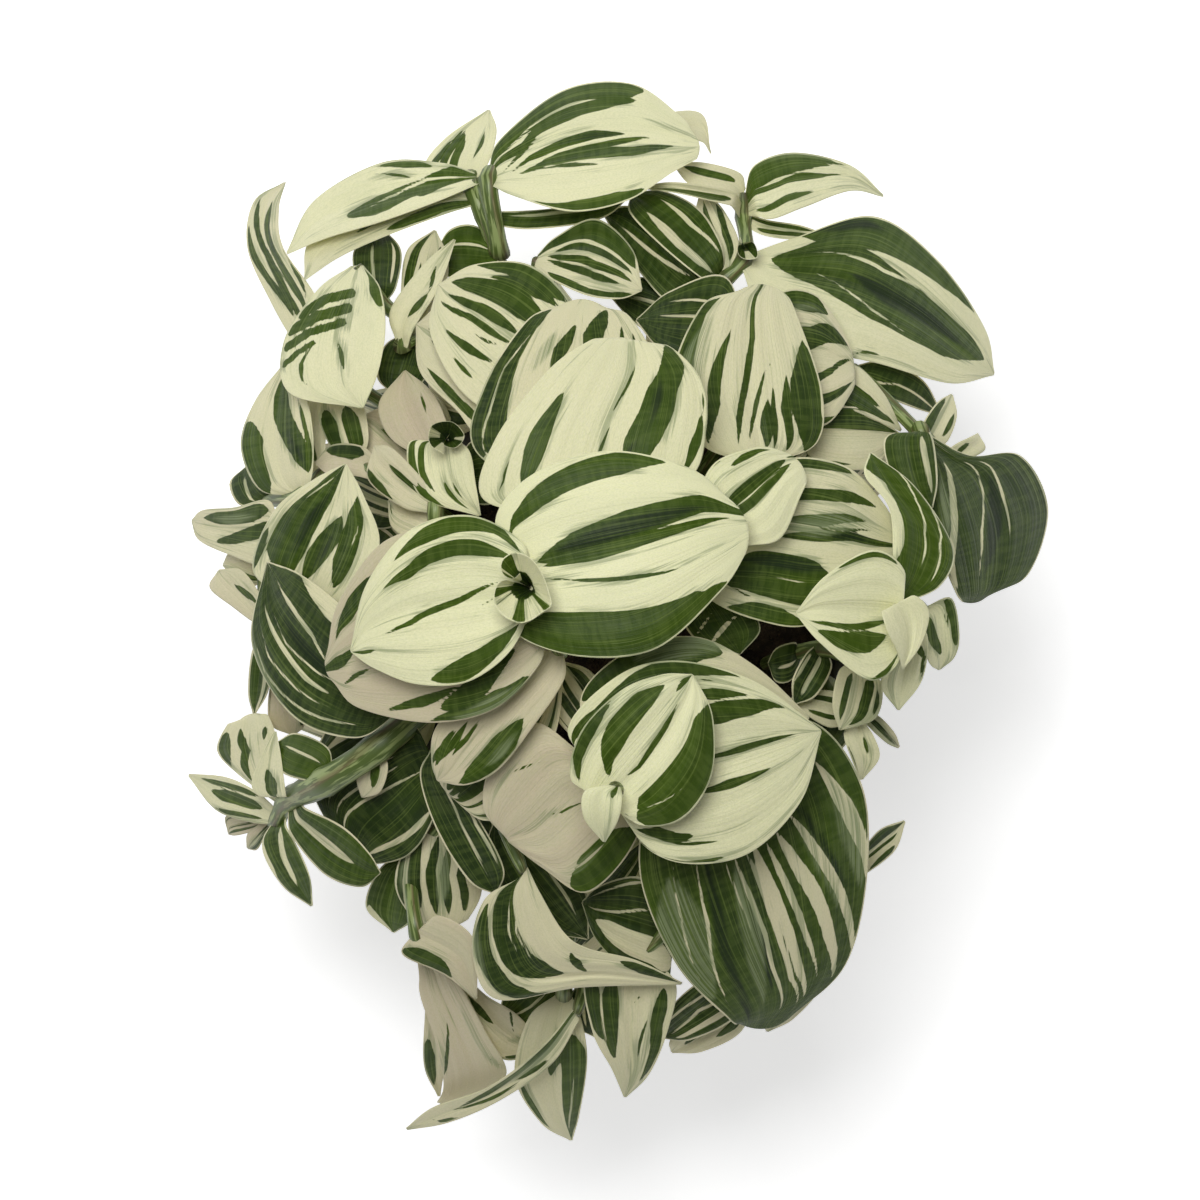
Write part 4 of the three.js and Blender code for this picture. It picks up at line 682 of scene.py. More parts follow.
    "front_left": leafyStem((-29, -35), [(-38, -46, 124)], [
        leaf(-0.4, (-45, -53), (-45, -79.5), [(-39, -55), (-34.5, -68)], [(-53, -57.5), (-56.5, -68)],
             age=0.45, deep=0.75,
             bands=((1.2, -53, -58, -55, -66, -54, -74), (2.4, -49, -55, -51.5, -64, -50, -75),
                    (2.2, -45.5, -56, -47.5, -65, -46, -76), (2, -43, -58, -44, -66, -43, -76),
                    (1.8, -39, -57, -40, -66, -39, -76), (2, -36, -60, -37, -68)),
             veils=((3, -44, -57, -45, -74), (2, -53, -60, -53, -72)), blunt=7),
        leaf(-1.1, (-52, -62), (-57, -80.7), [(-51, -68), (-52, -77)], [(-60, -64), (-64, -74)], age=0.2,
             deep=0.1, green=True, bands=((2.4, -63, -74, -60, -78, -56, -80),)),
        leaf(1.2, (-51, -80), (-36, -97), [(-45, -76), (-36.5, -82)], [(-54.5, -86), (-44, -91)], age=0.75,
             bands=((3, -54.5, -84.5, -50, -86, -46, -88, -42, -92),)),
        leaf(-0.6, (-48, -86), (-45.7, -122.5), [(-44, -98), (-44, -112)], [(-49, -98), (-49.5, -114)],
             age=0.6, deep=0.35, bands=((4, -48.3, -108, -49, -114, -47, -120),)),
        leaf(-0.1, (-47, -87), (-40, -125), [(-41, -92), (-33.5, -106), (-28.5, -116)],
             [(-50.5, -95), (-46.5, -108), (-44.5, -119)], droop=3, age=0.75, blunt=6,
             bands=((0.8, -43.5, -103, -43.5, -110, -44.5, -118), (0.7, -33, -112.5, -29, -114.8))),
        leaf(-0.7, (-42, -90), (-19, -110.5), [(-34, -96), (-25.5, -101.5)], [(-39, -101), (-30, -112.5)],
             age=0.55, deep=0.6,
             bands=((1.6, -38, -96.5, -35, -100.5, -32, -103.5), (1.8, -27, -100, -27.5, -105),
                    (1.6, -32, -112, -25, -112, -20, -110.5)), veils=((2.4, -28, -108, -22, -107.5),)),
    ], skirt=[(-125, 92, 72), (-141, 84, 84)]),
    "front_outer": leafyStem((-7, -46), [(-10, -64, 121), (-13, -84, 116)], [
        leaf(-0.4, (-14, -96), (-12.3, -133.7), [(-9.5, -103), (-8.2, -113), (-10, -126)],
             [(-23, -102), (-26.5, -117), (-20, -129)], droop=4, age=0.3, deep=0.05,
             bands=((4.2, -12, -106, -11.3, -115, -12.2, -125, -12.8, -133),
                    (4, -15, -104, -16, -111, -17.3, -117), (1.2, -25, -118, -22, -125, -18, -130)),
             pales=((0.5, -11.7, -117, -12.3, -125, -12.8, -131),)),
        leaf(-0.9, (-13, -88), (-30, -103), [(-16, -97), (-23, -104)], [(-22, -89), (-29, -96)], age=0.3,
             deep=0.15, green=True, bands=((0.8, -18, -95, -22, -99, -27, -101.5),)),
        leaf(-0.8, (-9, -93), (-6, -107), [(-3, -97), (-3, -104)], [(-12.5, -97), (-11, -104)], age=0.35,
             deep=0.7, green=True, bands=((0.8, -6, -95, -5.5, -104), (0.8, -9.5, -95, -8.5, -104))),
        leaf(0.5, (-11, -101), (-54, -131), [(-17, -113.5), (-30, -123), (-43, -129)],
             [(-20, -109.5), (-33, -119.5), (-47, -125)], age=0.4, deep=0.45,
             bands=((0.9, -13, -104, -20, -111, -30, -119, -40, -124.5),
                    (1.4, -18, -112.5, -22.5, -115.8, -26, -117.8),
                    (1.3, -50, -127, -46, -128.8, -40, -127.5), (0.7, -24, -117.5, -33, -123, -42, -126)),
             veils=((1.6, -14, -106, -22, -114, -30, -119),)),
    ]),
    # These leaves lie low under others; their deep dark green is partly painted shade
    "left_front_dark": leafyStem((-34, -24), [(-41, -31, 136)], [
        leaf(0.1, (-46, -37), (-67, -64), [(-46, -50), (-53, -61)], [(-53, -27), (-66, -30), (-78, -41.5)],
             deep=0.85, green=True,
             bands=((0.8, -50, -40, -69, -56), (0.7, -54, -38, -71, -51),
                    (1.6, -47, -49, -55, -57, -64, -61.5), (0.7, -56, -36, -73, -48))),
        leaf(1.2, (-46, -34), (-31, -70.5), [(-43, -41), (-35, -52), (-29, -64)],
             [(-50, -41), (-46, -54), (-38, -67)], deep=0.95, green=True,
             bands=((0.7, -45, -40, -40, -52, -33, -66), (0.8, -42, -42, -36, -53, -30, -64))),
    ]),
    "left_trailing": leafyStem((-41, -15), [(-50, -25, 140), (-57, -31, 150), (-65, -37, 148)], [
        leaf(0.9, (-61, -33), (-64.5, -46.5), [(-58, -39), (-60, -45)], [(-64, -34), (-66, -41)], age=0.6,
             deep=0.3, bands=((2, -61, -35, -62, -44),)),
        leaf(1.6, (-73, -42), (-86.5, -33), [(-78, -42.5), (-85, -40)], [(-73, -34), (-81, -30.3)], age=0.3,
             deep=0.3, green=True, bands=((0.8, -75, -38, -84, -33.5),)),
        leaf(0.7, (-84, -48), (-94, -26), [(-96, -41), (-101.5, -35), (-99, -28.5)],
             [(-86, -42), (-86, -33), (-88, -26.5)], age=0.3, deep=0.4, blunt=4,
             bands=((5, -99, -39, -101, -35, -99, -30), (1.9, -92, -43, -94, -35, -95.5, -29),
                    (2, -89.5, -32, -89, -28.5), (1, -96.5, -42, -98, -37))),
        leaf(1.6, (-85, -49), (-86.5, -30), [(-92.5, -44), (-90, -36)], [(-84, -44), (-85, -36)], age=0.2,
             deep=0.3, bands=((2.4, -86.5, -47, -87.5, -43, -88.5, -39),)),
        leaf(1.2, (-84, -49), (-60, -65.5), [(-77, -50), (-69, -54), (-63, -60)],
             [(-82, -57), (-74, -66), (-65, -69)], deep=0.45, green=True,
             bands=((1.6, -82, -50, -76, -56, -71, -60, -67, -63),)),
        leaf(0.5, (-86, -52), (-109, -41.2), [(-93, -53), (-102, -50)], [(-91, -45.5), (-99, -41.7)], age=0.2,
             deep=0.3,
             bands=((1.2, -91, -46.5, -98, -44, -106, -42), (2.4, -90, -49.5, -97, -47, -103, -45),
                    (1, -90, -52, -97, -50.8, -103, -49))),
        leaf(0.8, (-87, -52), (-77.5, -74), [(-82, -57), (-78, -66)], [(-90, -60), (-85, -69)], age=0.25,
             deep=0.3, green=True,
             bands=((1.4, -85.5, -54, -84.5, -62, -81, -69), (2, -90, -57, -89, -63, -86, -68))),
        leaf(-0.2, (-88, -53), (-94, -59.7), [(-89.5, -57), (-91.5, -60)], [(-91, -53.5), (-94, -56)],
             age=0.8, share=0.3),
        leaf(-0.3, (-89, -52), (-99, -56), [(-93, -55.5), (-97, -56.5)], [(-94, -50.5), (-99.5, -51.5)],
             age=0.8, share=0.3),
    ], skirt=[(-161, 88, 74), (208, 90, 92)], thick=2.1),
    "left_front": leafyStem((-33, -10), [(-43, -16, 140)], [
        leaf(2.4, (-54, -24), (-88.5, 12.5), [(-66, -31.5), (-82, -26), (-92.3, -8)],
             [(-58, -10), (-70, 2), (-80, 9.5)], age=0.4, deep=0.8, green=True,
             bands=((6, -80, 10, -74, 4, -70, -2, -68, -6), (1.1, -86, 8, -82, 1, -77, -6, -73, -13),
                    (1.4, -89, 3, -87, -4, -84, -10, -78, -17, -72, -20.5),
                    (0.7, -91, -8, -89, -15, -84, -21, -77, -25.5, -66, -28),
                    (0.6, -87, 0, -83, -8, -77, -14, -68, -19), (0.6, -90, -3, -88, -11, -82, -18, -72, -24)),
             veils=((2.4, -92, -4, -90, -14, -84, -23),), darks=((3, -84, -2, -78, -10, -70, -17),)),
    ]),
    "left_outer": leafyStem((-46, -3), [(-57, -2, 120), (-76, -6, 118)], [
        leaf(0.1, (-84, -15), (-82, -31), [(-80, -21), (-79, -28)], [(-88, -19), (-88, -28)], age=0.75,
             bands=((1.2, -88, -18, -88, -26), (1.4, -80.5, -25, -79.5, -29.5))),
        leaf(0.5, (-88, -5), (-92, -25.7), [(-87, -12), (-88.3, -20)], [(-92.5, -10), (-93.5, -20)], deep=0.4,
             green=True, bands=((0.9, -89, -9, -89.4, -18, -91, -25),)),
        leaf(1.4, (-89, -3), (-101, 10.5), [(-97, 1), (-103.2, 6)], [(-90, 4), (-95, 10.5)], age=0.6,
             bands=((1.4, -91, 2, -97, 7),)),
        leaf(0.4, (-89, 9), (-100, 12), [(-93, 6.5), (-98, 9.5)], [(-92, 14), (-98, 15)], age=0.6,
             bands=((1, -90, 9, -98, 11),)),
        leaf(1.2, (-86, 19), (-108, 23), [(-89, 11.5), (-98, 14.3), (-106, 18)],
             [(-88, 28), (-97, 26.3), (-105, 25.7)], age=0.45,
             bands=((3, -88, 25.5, -96, 23.8, -105, 23.8), (3, -87, 21.5, -94, 19.5, -102, 17.8)),
             veils=((2.4, -92, 24, -102, 23.5),)),
    ], skirt=[(-173, 84, 84)]),
    "left": leafyStem((-43, 9), [(-58, 7, 122), (-71, 3, 128)], [
        leaf(1.8, (-78, 2), (-68.6, 37), [(-92, 10), (-87, 25), (-77, 33)], [(-66, 4), (-60, 17), (-64, 29)],
             age=0.25, deep=0.45,
             bands=((6, -84, 8, -84, 15, -81.5, 20.5, -78, 25.5, -73.5, 31, -69, 35.5),
                    (4.4, -79, 8, -77, 12, -74.5, 16, -72, 20, -69.5, 24.3),
                    (4, -71.5, 6, -69.5, 12, -67.3, 19, -66, 25, -65.5, 29),
                    (4, -92, 11, -91, 16, -88, 21.5)),
             pales=((0.5, -79, 28, -75, 31, -71, 34), (0.5, -68.5, 13.5, -67, 17, -65.3, 22)),
             darks=((2.5, -82, 14, -78, 22, -73, 29), (2, -76, 12, -72, 19))),
    ], skirt=[(163, 80, 90)]),
    "left_back": leafyStem((-40, 21), [(-51, 29, 130)], [
        leaf(0.2, (-60, 34), (-76.5, 37.5), [(-66, 34), (-73, 34.5)], [(-64, 41.3), (-72, 42)], age=0.75,
             deep=0.85, bands=((4.4, -64, 39.5, -68, 41, -74, 41),)),
        leaf(-0.3, (-66, 38), (-72, 57), [(-73, 42), (-76, 51)], [(-63, 44), (-65, 53)], age=0.4, deep=0.4,
             bands=((3, -70, 40, -72.5, 46, -74, 51), (3.2, -65.5, 40, -67, 46, -69, 52))),
        leaf(-0.9, (-75, 34), (-78, 57), [(-80, 39), (-83, 50)], [(-74, 42), (-73, 51)], age=0.45, deep=0.6,
             bands=((1.4, -76, 37, -78, 44, -80, 52), (0.8, -78, 36, -81, 44, -81.5, 52))),
        leaf(0.4, (-80, 29), (-84, 63), [(-91, 31), (-95.5, 42), (-92, 53)],
             [(-77, 36), (-77, 45), (-79, 55)], age=0.3, deep=0.35,
             bands=((9, -88, 29, -93, 33, -95.3, 40, -93.5, 48),
                    (4.2, -78, 35, -80, 40, -82.8, 45, -85, 50, -85, 59), (1, -77.3, 38, -79, 46, -81, 54)),
             darks=((1.4, -79, 37, -83, 44),)),
        leaf(-0.6, (-89, 28), (-94.5, 36.5), [(-96, 27), (-98.5, 32.5)], [(-89, 32), (-91, 35)], age=0.4,
             deep=0.55, green=True, bands=((0.8, -92, 28, -94.5, 34),)),
    ], skirt=[(153, 90, 82)]),
    "left_bud": leafyStem((-31, 17), [(-40, 20, 136)], [
        leaf(0.3, (-46, 21), (-58, 28), [(-51, 18), (-57, 21)], [(-48, 27), (-55, 30)], deep=0.3,
             bands=((1, -57.5, 27, -57, 24.5),)),
        leaf(1, (-46, 26), (-61.5, 41.5), [(-54, 26), (-63, 33)], [(-50, 34), (-57, 41)], age=0.6, deep=0.6,
             bands=((3, -57, 28, -62, 32, -63, 36), (1, -48, 27, -58, 37))),
        leaf(-0.9, (-46, 32), (-65.5, 49), [(-57, 36), (-65, 42)], [(-50, 43), (-58, 51)], age=0.8,
             bands=((1, -49, 37, -55, 42, -60, 46),)),
        leaf(-0.6, (-42, 33), (-27, 36), [(-37, 43), (-30, 43)], [(-36, 27), (-30, 28)], deep=0.9,
             green=True),
        leaf(0.2, (-45, 38), (-54, 60.5), [(-57, 43), (-60.5, 52)], [(-43, 46), (-47, 55)], age=0.85,
             deep=0.3, bands=((0.8, -50, 55, -48.5, 50), (1.2, -57, 41, -54, 36.5))),
        leaf(0.9, (-43, 43), (-35, 24), [(-37.5, 40), (-36, 32)], [(-53, 42), (-50, 29)], age=0.1, deep=0.05,
             bands=((1.8, -50, 44, -52.5, 40, -51.5, 34, -47, 28, -41, 24.5),
                    (1.2, -46, 45.5, -49.5, 41, -49.5, 35, -46, 30), (1, -44, 33, -41.5, 28.5, -37.5, 25.5),
                    (0.8, -42, 33, -39.5, 28.5))),
        cup(1, (-43, 43.5),
            [(-42.5, 44.5), (-44, 41.8), (-41, 41), (-38.8, 44), (-42, 47.5), (-47, 46.5), (-47.5, 42),
             (-44, 39.3)], 9, age=0.3, deep=0.8, stripes=((0.55, 0.3), (-0.15, 0.3), (-0.72, 0.1))),
    ]),
    "back_left_curled": leafyStem((-24, 40), [(-36, 54, 120), (-50, 66, 124)], [
        leaf(0.6, (-55, 67), (-41.5, 93.5), [(-57.5, 76), (-49, 87.5)], [(-51, 72), (-45, 82)], age=0.25,
             deep=0.2,
             bands=((3, -56, 68, -52, 67, -49.5, 71), (1.6, -48, 80, -46, 87), (1.6, -53, 74, -48, 80))),
        leaf(-0.4, (-51, 70), (-56, 54), [(-46, 66), (-49, 58)], [(-59, 67), (-61, 59)], deep=0.8,
             green=True),
        leaf(-0.3, (-53, 73), (-46.5, 96), [(-55, 81), (-53.5, 91)], [(-45, 78), (-43, 88)], age=0.4,
             deep=0.6,
             bands=((1.6, -54, 80, -52, 88, -47, 95), (1.4, -50, 76, -48, 86, -45, 92),
                    (1, -52, 76, -50, 88))),
        leaf(0.1, (-60, 78), (-60.5, 97), [(-66, 83), (-67, 91)], [(-56, 82), (-55, 91)], deep=0.7,
             green=True, bands=((0.8, -61.5, 82, -62, 93), (0.8, -57.5, 83, -57.5, 93))),
        leaf(1.6, (-66, 87), (-64.5, 51), [(-60, 81), (-58.7, 71), (-60.5, 60)],
             [(-76, 81), (-84.5, 68), (-83, 55)], age=0.1, deep=0.15,
             bands=((5, -68, 90, -64, 88.5, -61, 84, -59, 76), (1.2, -77.5, 56, -79.7, 58, -80, 62, -77, 67),
                    (1.3, -69, 60.5, -70, 65, -71, 69)),
             crosses=((2.4, -79.6, 75, -74, 78.6, -67.5, 80), (2.6, -83, 70.6, -76, 74.2, -68.4, 76.2),
                      (2, -84, 66.3, -78, 70.2, -69.5, 72.6), (1.4, -84.5, 62, -81, 65, -77, 67.6))),
    ], skirt=[(121, 88, 82), (134, 84, 84)]),
    "back_left_narrow": leafyStem((-30, 28), [(-41, 39, 116), (-54, 49, 118), (-68, 58, 114)], [
        leaf(0.3, (-80, 67), (-85, 109), [(-88, 78), (-94.3, 92), (-93, 104)],
             [(-76, 78), (-85, 92), (-86.3, 102)], age=0.35,
             bands=((1.4, -80, 73, -84, 80, -89, 90, -92, 98, -91, 105),
                    (1.3, -79, 75, -82, 82, -87, 90, -89.5, 98, -88, 104),
                    (1.6, -82, 74, -89, 84, -93, 91, -94, 98), (1, -79, 79, -83, 88, -85.5, 96))),
    ], skirt=[(142, 88, 70)]),
    "back": leafyStem((-14, 42), [(-20, 56, 118), (-27, 78, 119), (-33, 96, 120)], [
        leaf(0.1, (-34, 99), (3, 105), [(-20, 101), (-5, 103)], [(-22, 96), (-5, 98.5)], age=0.3, deep=0.4,
             green=True, bands=((0.8, -28, 99.5, -15, 100.3, -3, 102),)),
        leaf(0.8, (-36, 104), (-79.5, 83.8), [(-45, 99.5), (-60, 94), (-71, 89)],
             [(-48, 107), (-64, 102), (-78, 94)], age=0.2, deep=0.35,
             bands=((1.8, -42, 104.8, -50, 103.6, -58, 102, -62, 98.5, -66.5, 95.2),
                    (2.2, -38, 103.5, -45, 101.5, -52, 98.5, -59, 96))),
        leaf(0.5, (-38, 109), (-33, 126.7), [(-49, 112), (-44, 119.5)], [(-33, 113), (-31, 121)], age=0.1,
             deep=0.15,
             bands=((1.6, -46.5, 111, -44.3, 116, -42.5, 119), (1.5, -43.6, 111, -42, 117, -39.6, 121.5),
                    (1.8, -41, 111, -40.2, 117, -39, 121.5), (0.9, -37, 114, -35, 117.5, -34, 121))),
        leaf(0, (-30, 110), (23, 115.5), [(-14, 117), (5, 124), (20, 126)],
             [(-14, 109), (5, 113), (19, 118.5)], age=0.3, deep=0.3,
             bands=((1.4, -10, 114, 5, 116, 16, 118), (1, -10, 117, 14, 122))),
        leaf(1.9, (-33, 109), (20, 117.3), [(-30, 119), (-14, 131.5), (3, 133), (15, 125)],
             [(-26, 104), (-12, 100.2), (2, 103), (13, 110)], age=0.05, deep=0.2, blunt=3.5,
             bands=((8, -33, 112, -29, 119, -21, 127, -12, 131.5, -2, 133, 6, 131.5),
                    (2.4, -31, 110, -25, 116.5, -20, 121.5, -14, 125, -6, 127.5, 4, 128.5),
                    (1, -29, 110.5, -25, 114.5, -20, 119),
                    (2, -28, 110, -22, 114, -15, 117.5, -7, 119.8, 0.8, 120),
                    (1.4, -24, 110.5, -15, 114.5, -5, 117, 8, 119),
                    (2.2, -26, 109.5, -18, 113, -8, 115, 4, 115.5, 14, 117),
                    (0.9, -22, 110.5, -15, 112, -5, 112.3),
                    (4, -31, 105.5, -26, 102.5, -19, 100.6, -11, 100.2, -2, 101.8, 6, 106)),
             pales=((0.5, -30, 114, -23, 122, -14, 127, -2, 129.5),), darks=((1.2, -12, 118.6, 0, 120.2),)),
        leaf(-0.7, (-30, 89), (-47, 88), [(-36, 83), (-43, 84)], [(-36, 97), (-43, 96)], age=0.3, deep=0.2,
             green=True, bands=((0.8, -33, 91, -43, 92),)),
        leaf(1.4, (-36, 109), (-84, 90.5), [(-46, 103), (-60, 98), (-74, 94)],
             [(-45, 113), (-60, 113.3), (-77, 104)], fold=2, age=0.05, deep=0.05,
             bands=((2.2, -47, 112, -55, 113.2, -61, 113.3, -67, 111),
                    (0.9, -52, 109, -57, 110.2, -62, 110.2),
                    (3, -38, 110.5, -45, 109, -52, 106.3, -58, 103.5, -63, 101.5, -69, 99.5)),
             pales=((0.5, -40, 112, -48, 108.8, -56, 105.2, -64, 101.3),),
             crosses=((4.4, -33.5, 110.5, -38, 111, -44, 109.3, -50, 106.6),)),
    ], skirt=[(101, 86, 72)], thick=1.3),
}


def domeHeight(x, y):
    away = math.hypot(x / dome["x"], y / dome["y"])
    past = max(0, away - dome["skirtStart"])
    return dome["rim"] + dome["rise"] * (1 - away * away) - dome["skirtDrop"] * past * past


# The way from a to b, with ta and tb as its directions at the ends
def span(a, b, ta, tb, t):
    return a + ta * t + (3 * (b - a) - 2 * ta - tb) * t ** 2 + (2 * (a - b) + ta + tb) * t ** 3


# A smooth curve through points; an even one runs by point number, the other by spacing
def curvePoint(points, t, even=True):
    place = t * (len(points) - 1)
    i = min(int(place), len(points) - 2)
    b, c = points[i], points[i + 1]
    a = points[i - 1] if i > 0 else 2 * points[0] - points[1]
    d = points[i + 2] if i + 2 < len(points) else 2 * points[-1] - points[-2]
    if even:
        return span(b, c, (c - a) / 2, (d - b) / 2, place - i)
    ab, bc, cd = (max((q - p).length ** 0.5, 0.01) for p, q in ((a, b), (b, c), (c, d)))
    start = ((b - a) / ab - (c - a) / (ab + bc) + (c - b) / bc) * bc
    end = ((c - b) / bc - (d - b) / (bc + cd) + (d - c) / cd) * bc
    return span(b, c, start, end, place - i)


def evenPoints(points):
    fine = [curvePoint(points, i / stem["samples"], False) for i in range(stem["samples"] + 1)]
    run = [0]
    for a, b in zip(fine, fine[1:]):
        run.append(run[-1] + (b - a).length)
    count = max(stem["fewest"], round(run[-1] / stem["step"]))
    out, i = [], 0
    for k in range(count + 1):
        goal = run[-1] * k / count
        while i < len(run) - 2 and run[i + 1] < goal:
            i += 1
        share = (goal - run[i]) / max(run[i + 1] - run[i], tiny)
        out.append(fine[i].lerp(fine[i + 1], min(1, share)))
    return out


# The middle line of a stem, from the bottom of its hole by the way and the feet of its leaves
def stemAxis(shoot):
    x, y = shoot["root"]
    route = [Vector((x, y, soil["top"] + stem["rootRise"]))] + [Vector(point) for point in shoot["way"]]
    for one in shoot["leaves"]:
        foot = footOf(one)
        if (foot - route[-1]).length > stem["spacing"]:
            route.append(foot)
    return [Vector((x, y, soil["top"] - stem["holeDepth"]))] + evenPoints(route)


def footOf(one):
    return Vector((*one["base"], domeHeight(*one["base"]) + one["layer"] * dome["layer"]))


def nearestOn(a, b, place):
    return a.lerp(b, clamp((place - a).dot(b - a) / max((b - a).length_squared, tiny)))


# The point of a stem's middle line that is nearest to a place
def heartOf(axis, place):
    best = axis[0]
    for a, b in zip(axis, axis[1:]):
        near = nearestOn(a, b, place)
        if (near - place).length < (best - place).length:
            best = near
    return best


# A leaf under the canopy that hangs out over the rim of the pot
def skirtLeaf(axis, angle, away, height):
    out = Vector((math.cos(math.radians(angle)), math.sin(math.radians(angle))))
    start = heartOf(axis, Vector((*(out * skirt["startRadius"]), skirt["startHeight"])))
    layer = (start.z - domeHeight(start.x, start.y)) / dome["layer"]
    tip = out * away
    along = tip - start.xy
    side = Vector((-along.y, along.x)).normalized()
    half = min(skirt["half"], along.length * skirt["halfShare"])
    margins = [[tuple(start.xy + along * share + side * hand * half * wide)
                for share, wide in skirt["margins"]] for hand in (1, -1)]
    sag = domeHeight(*tip) + layer * dome["layer"] - height
    return leaf(layer, tuple(start.xy), tuple(tip), *margins, sag=sag, **skirt["look"])


# The margins of a leaf at even steps from its base to its tip, as (share of the way, left, right)
def marginRows(plan, count):
    return [(i / count, curvePoint(plan["left"], i / count), curvePoint(plan["right"], i / count))
            for i in range(count + 1)]


# The plan of a leaf: its two margins, its direction, its length and its width
def planOf(one):
    base, tip = Vector(one["base"]), Vector(one["tip"])
    along = (tip - base).normalized()
    across = Vector((-along.y, along.x))
    plan = {"along": along}
    for name, hand in (("left", 1), ("right", -1)):
        inner = [Vector(point) for point in one[name]]
        end = tip + across * hand * one.get("blunt", blade["tipHalf"])
        plan[name] = [base + across * hand * blade["baseHalf"]] + inner + [end]
    rows = marginRows(plan, blade["planSteps"])
    middles = [(left + right) / 2 for _, left, right in rows]
    plan["length"] = sum((b - a).length for a, b in zip(middles, middles[1:]))
    plan["width"] = max((left - right).length for _, left, right in rows)
    return plan


# Where a point of a leaf lies: u runs from its base to its tip, v from its right margin to its left one
def leafPlace(one, plan, u, v, waves):
    left, right = curvePoint(plan["left"], u), curvePoint(plan["right"], u)
    flat = right.lerp(left, (1 + v) / 2)
    if "blunt" in one:
        late = max(0, u - blade["bluntFrom"]) / (1 - blade["bluntFrom"])
        flat -= plan["along"] * one["blunt"] * blade["bluntRound"] * v * v * late * late
    pleats, pleatStart, ripples, rippleStart = waves
    middle = math.sin(math.pi * u)
    size = min(1, plan["width"] / blade["fullWidth"])
    past = max(0, u - 0.5) * 2
    keel = blade["keel"]
    fold = one.get("fold", blade["fold"]) * (math.sqrt(v * v + keel * keel) - keel)
    rise = blade["arch"] * middle + fold * middle
    rise += blade["pillow"] * size * math.sin(math.pi * abs(v)) * middle
    rise += blade["pleat"] * size * math.sin(v * pleats + pleatStart) * middle
    rise += blade["wave"] * size * abs(v) ** 3 * math.sin(u * ripples + rippleStart + v) * middle
    rise -= one.get("droop", 0) * past * past + one.get("sag", 0) * u * u
    return Vector((*flat, domeHeight(*flat) + one["layer"] * dome["layer"] + rise))


# Where a plan point lies on a leaf, as (u, v)
def leafShare(rows, point):
    best = None
    for u, left, right in rows:
        chord = left - right
        t = (point - right).dot(chord) / max(chord.length_squared, tiny)
        off = abs((point - right).cross(chord)) / max(chord.length, tiny)
        off += band["outside"] * max(0, abs(t - 0.5) - 0.5)
        if best is None or off < best[0]:
            best = (off, u, 2 * t - 1)
    return best[1:]


def pointsOf(places):
    return [Vector(pair) for pair in zip(places[::2], places[1::2])]


# Strokes become bands: their places along the leaf as (u, v), and their half width as a share of the leaf's
def bandsOf(strokes, rows, grow, least):
    out = []
    for width, *places in strokes:
        path = sorted(leafShare(rows, point) for point in pointsOf(places))
        if path[0][0] < band["openBase"]:
            path[0] = (-1, path[1][1])
        if path[-1][0] > band["openTip"]:
            path[-1] = (2, path[-2][1])
        (u0, v0), (u1, v1) = path[0], path[-1]
        if u1 - u0 < band["shortest"]:
            path = [(u0 - band["stretch"], v0), (u1 + band["stretch"], v1)]
        centre = (max(0, path[0][0]) + min(1, path[-1][0])) / 2
        wide = min(rows, key=lambda row: abs(row[0] - centre))
        out.append((path, max(least, width * grow) / max((wide[1] - wide[2]).length, 1)))
    return out


# Bands at random on a leaf of which the photo shows too little
def looseBands(dice, share):
    out, used = [], 0
    while used < share:
        half = dice.choice(looseBand["halves"])
        v = dice.uniform(-looseBand["reach"], looseBand["reach"])
        start, end = dice.uniform(*looseBand["start"]), dice.uniform(*looseBand["end"])
        out.append(([(start, v), (end, v + dice.uniform(*looseBand["drift"]))], half))
        used += half * looseBand["cover"]
    return out


# Depth inside the nearest band in millimetres, below zero outside them all
def bandDepth(bands, u, v, width):
    depth = band["nowhere"]
    for path, half in bands:
        i = 0
        while i < len(path) - 2 and u > path[i + 1][0]:
            i += 1
        (u0, v0), (u1, v1) = path[i], path[i + 1]
        share = (u - u0) / max(u1 - u0, 0.001)
        centre = v0 + (v1 - v0) * clamp(share, -band["overrun"], 1 + band["overrun"])
        ends = min(1, (u - path[0][0]) / band["taper"], (path[-1][0] - u) / band["taper"])
        ends = max(-band["pastEnd"], ends) if ends < 0 else ends ** band["roundness"]
        depth = max(depth, (half * ends - abs(v - centre)) * width / 2)
    return depth


# The same for strokes that cross the leaf, in plan
def crossDepth(strokes, flat):
    depth = band["nowhere"]
    for width, *places in strokes:
        path = pointsOf(places)
        for a, b in zip(path, path[1:]):
            depth = max(depth, width / 2 - (nearestOn(a, b, flat) - flat).length)
    return depth


def layersOf(bm):
    names = ("band", "veil", "darkAndPaintedShade", "age", "deep", "seed")
    return {name: bm.verts.layers.float.get(name) or bm.verts.layers.float.new(name) for name in names}


def mapOf(bm):
    return bm.loops.layers.uv.get("leafUV") or bm.loops.layers.uv.new("leafUV")


# A leaf or a cup: a grid whose columns run from the right margin to the left one, then given its thickness
def addSheet(bm, rowCount, columnCount, placeOf, paintOf, uvOf):
    bm.verts.ensure_lookup_table()
    layers, leafMap = layersOf(bm), mapOf(bm)
    made = bmesh.ops.create_grid(bm, x_segments=columnCount, y_segments=rowCount, size=1)["verts"]
    faces = {face for vert in made for face in vert.link_faces}
    shares = {vert: ((vert.co.y + 1) / 2, -vert.co.x) for vert in made}
    for face in faces:
        for loop in face.loops:
            loop[leafMap].uv = uvOf(*shares[loop.vert])
    for vert, (u, v) in shares.items():
        for name, value in paintOf(u, v).items():
            vert[layers[name]] = value
        vert.co = placeOf(u, v) * mm
    bmesh.ops.solidify(bm, geom=list(faces), thickness=blade["thick"] * mm)


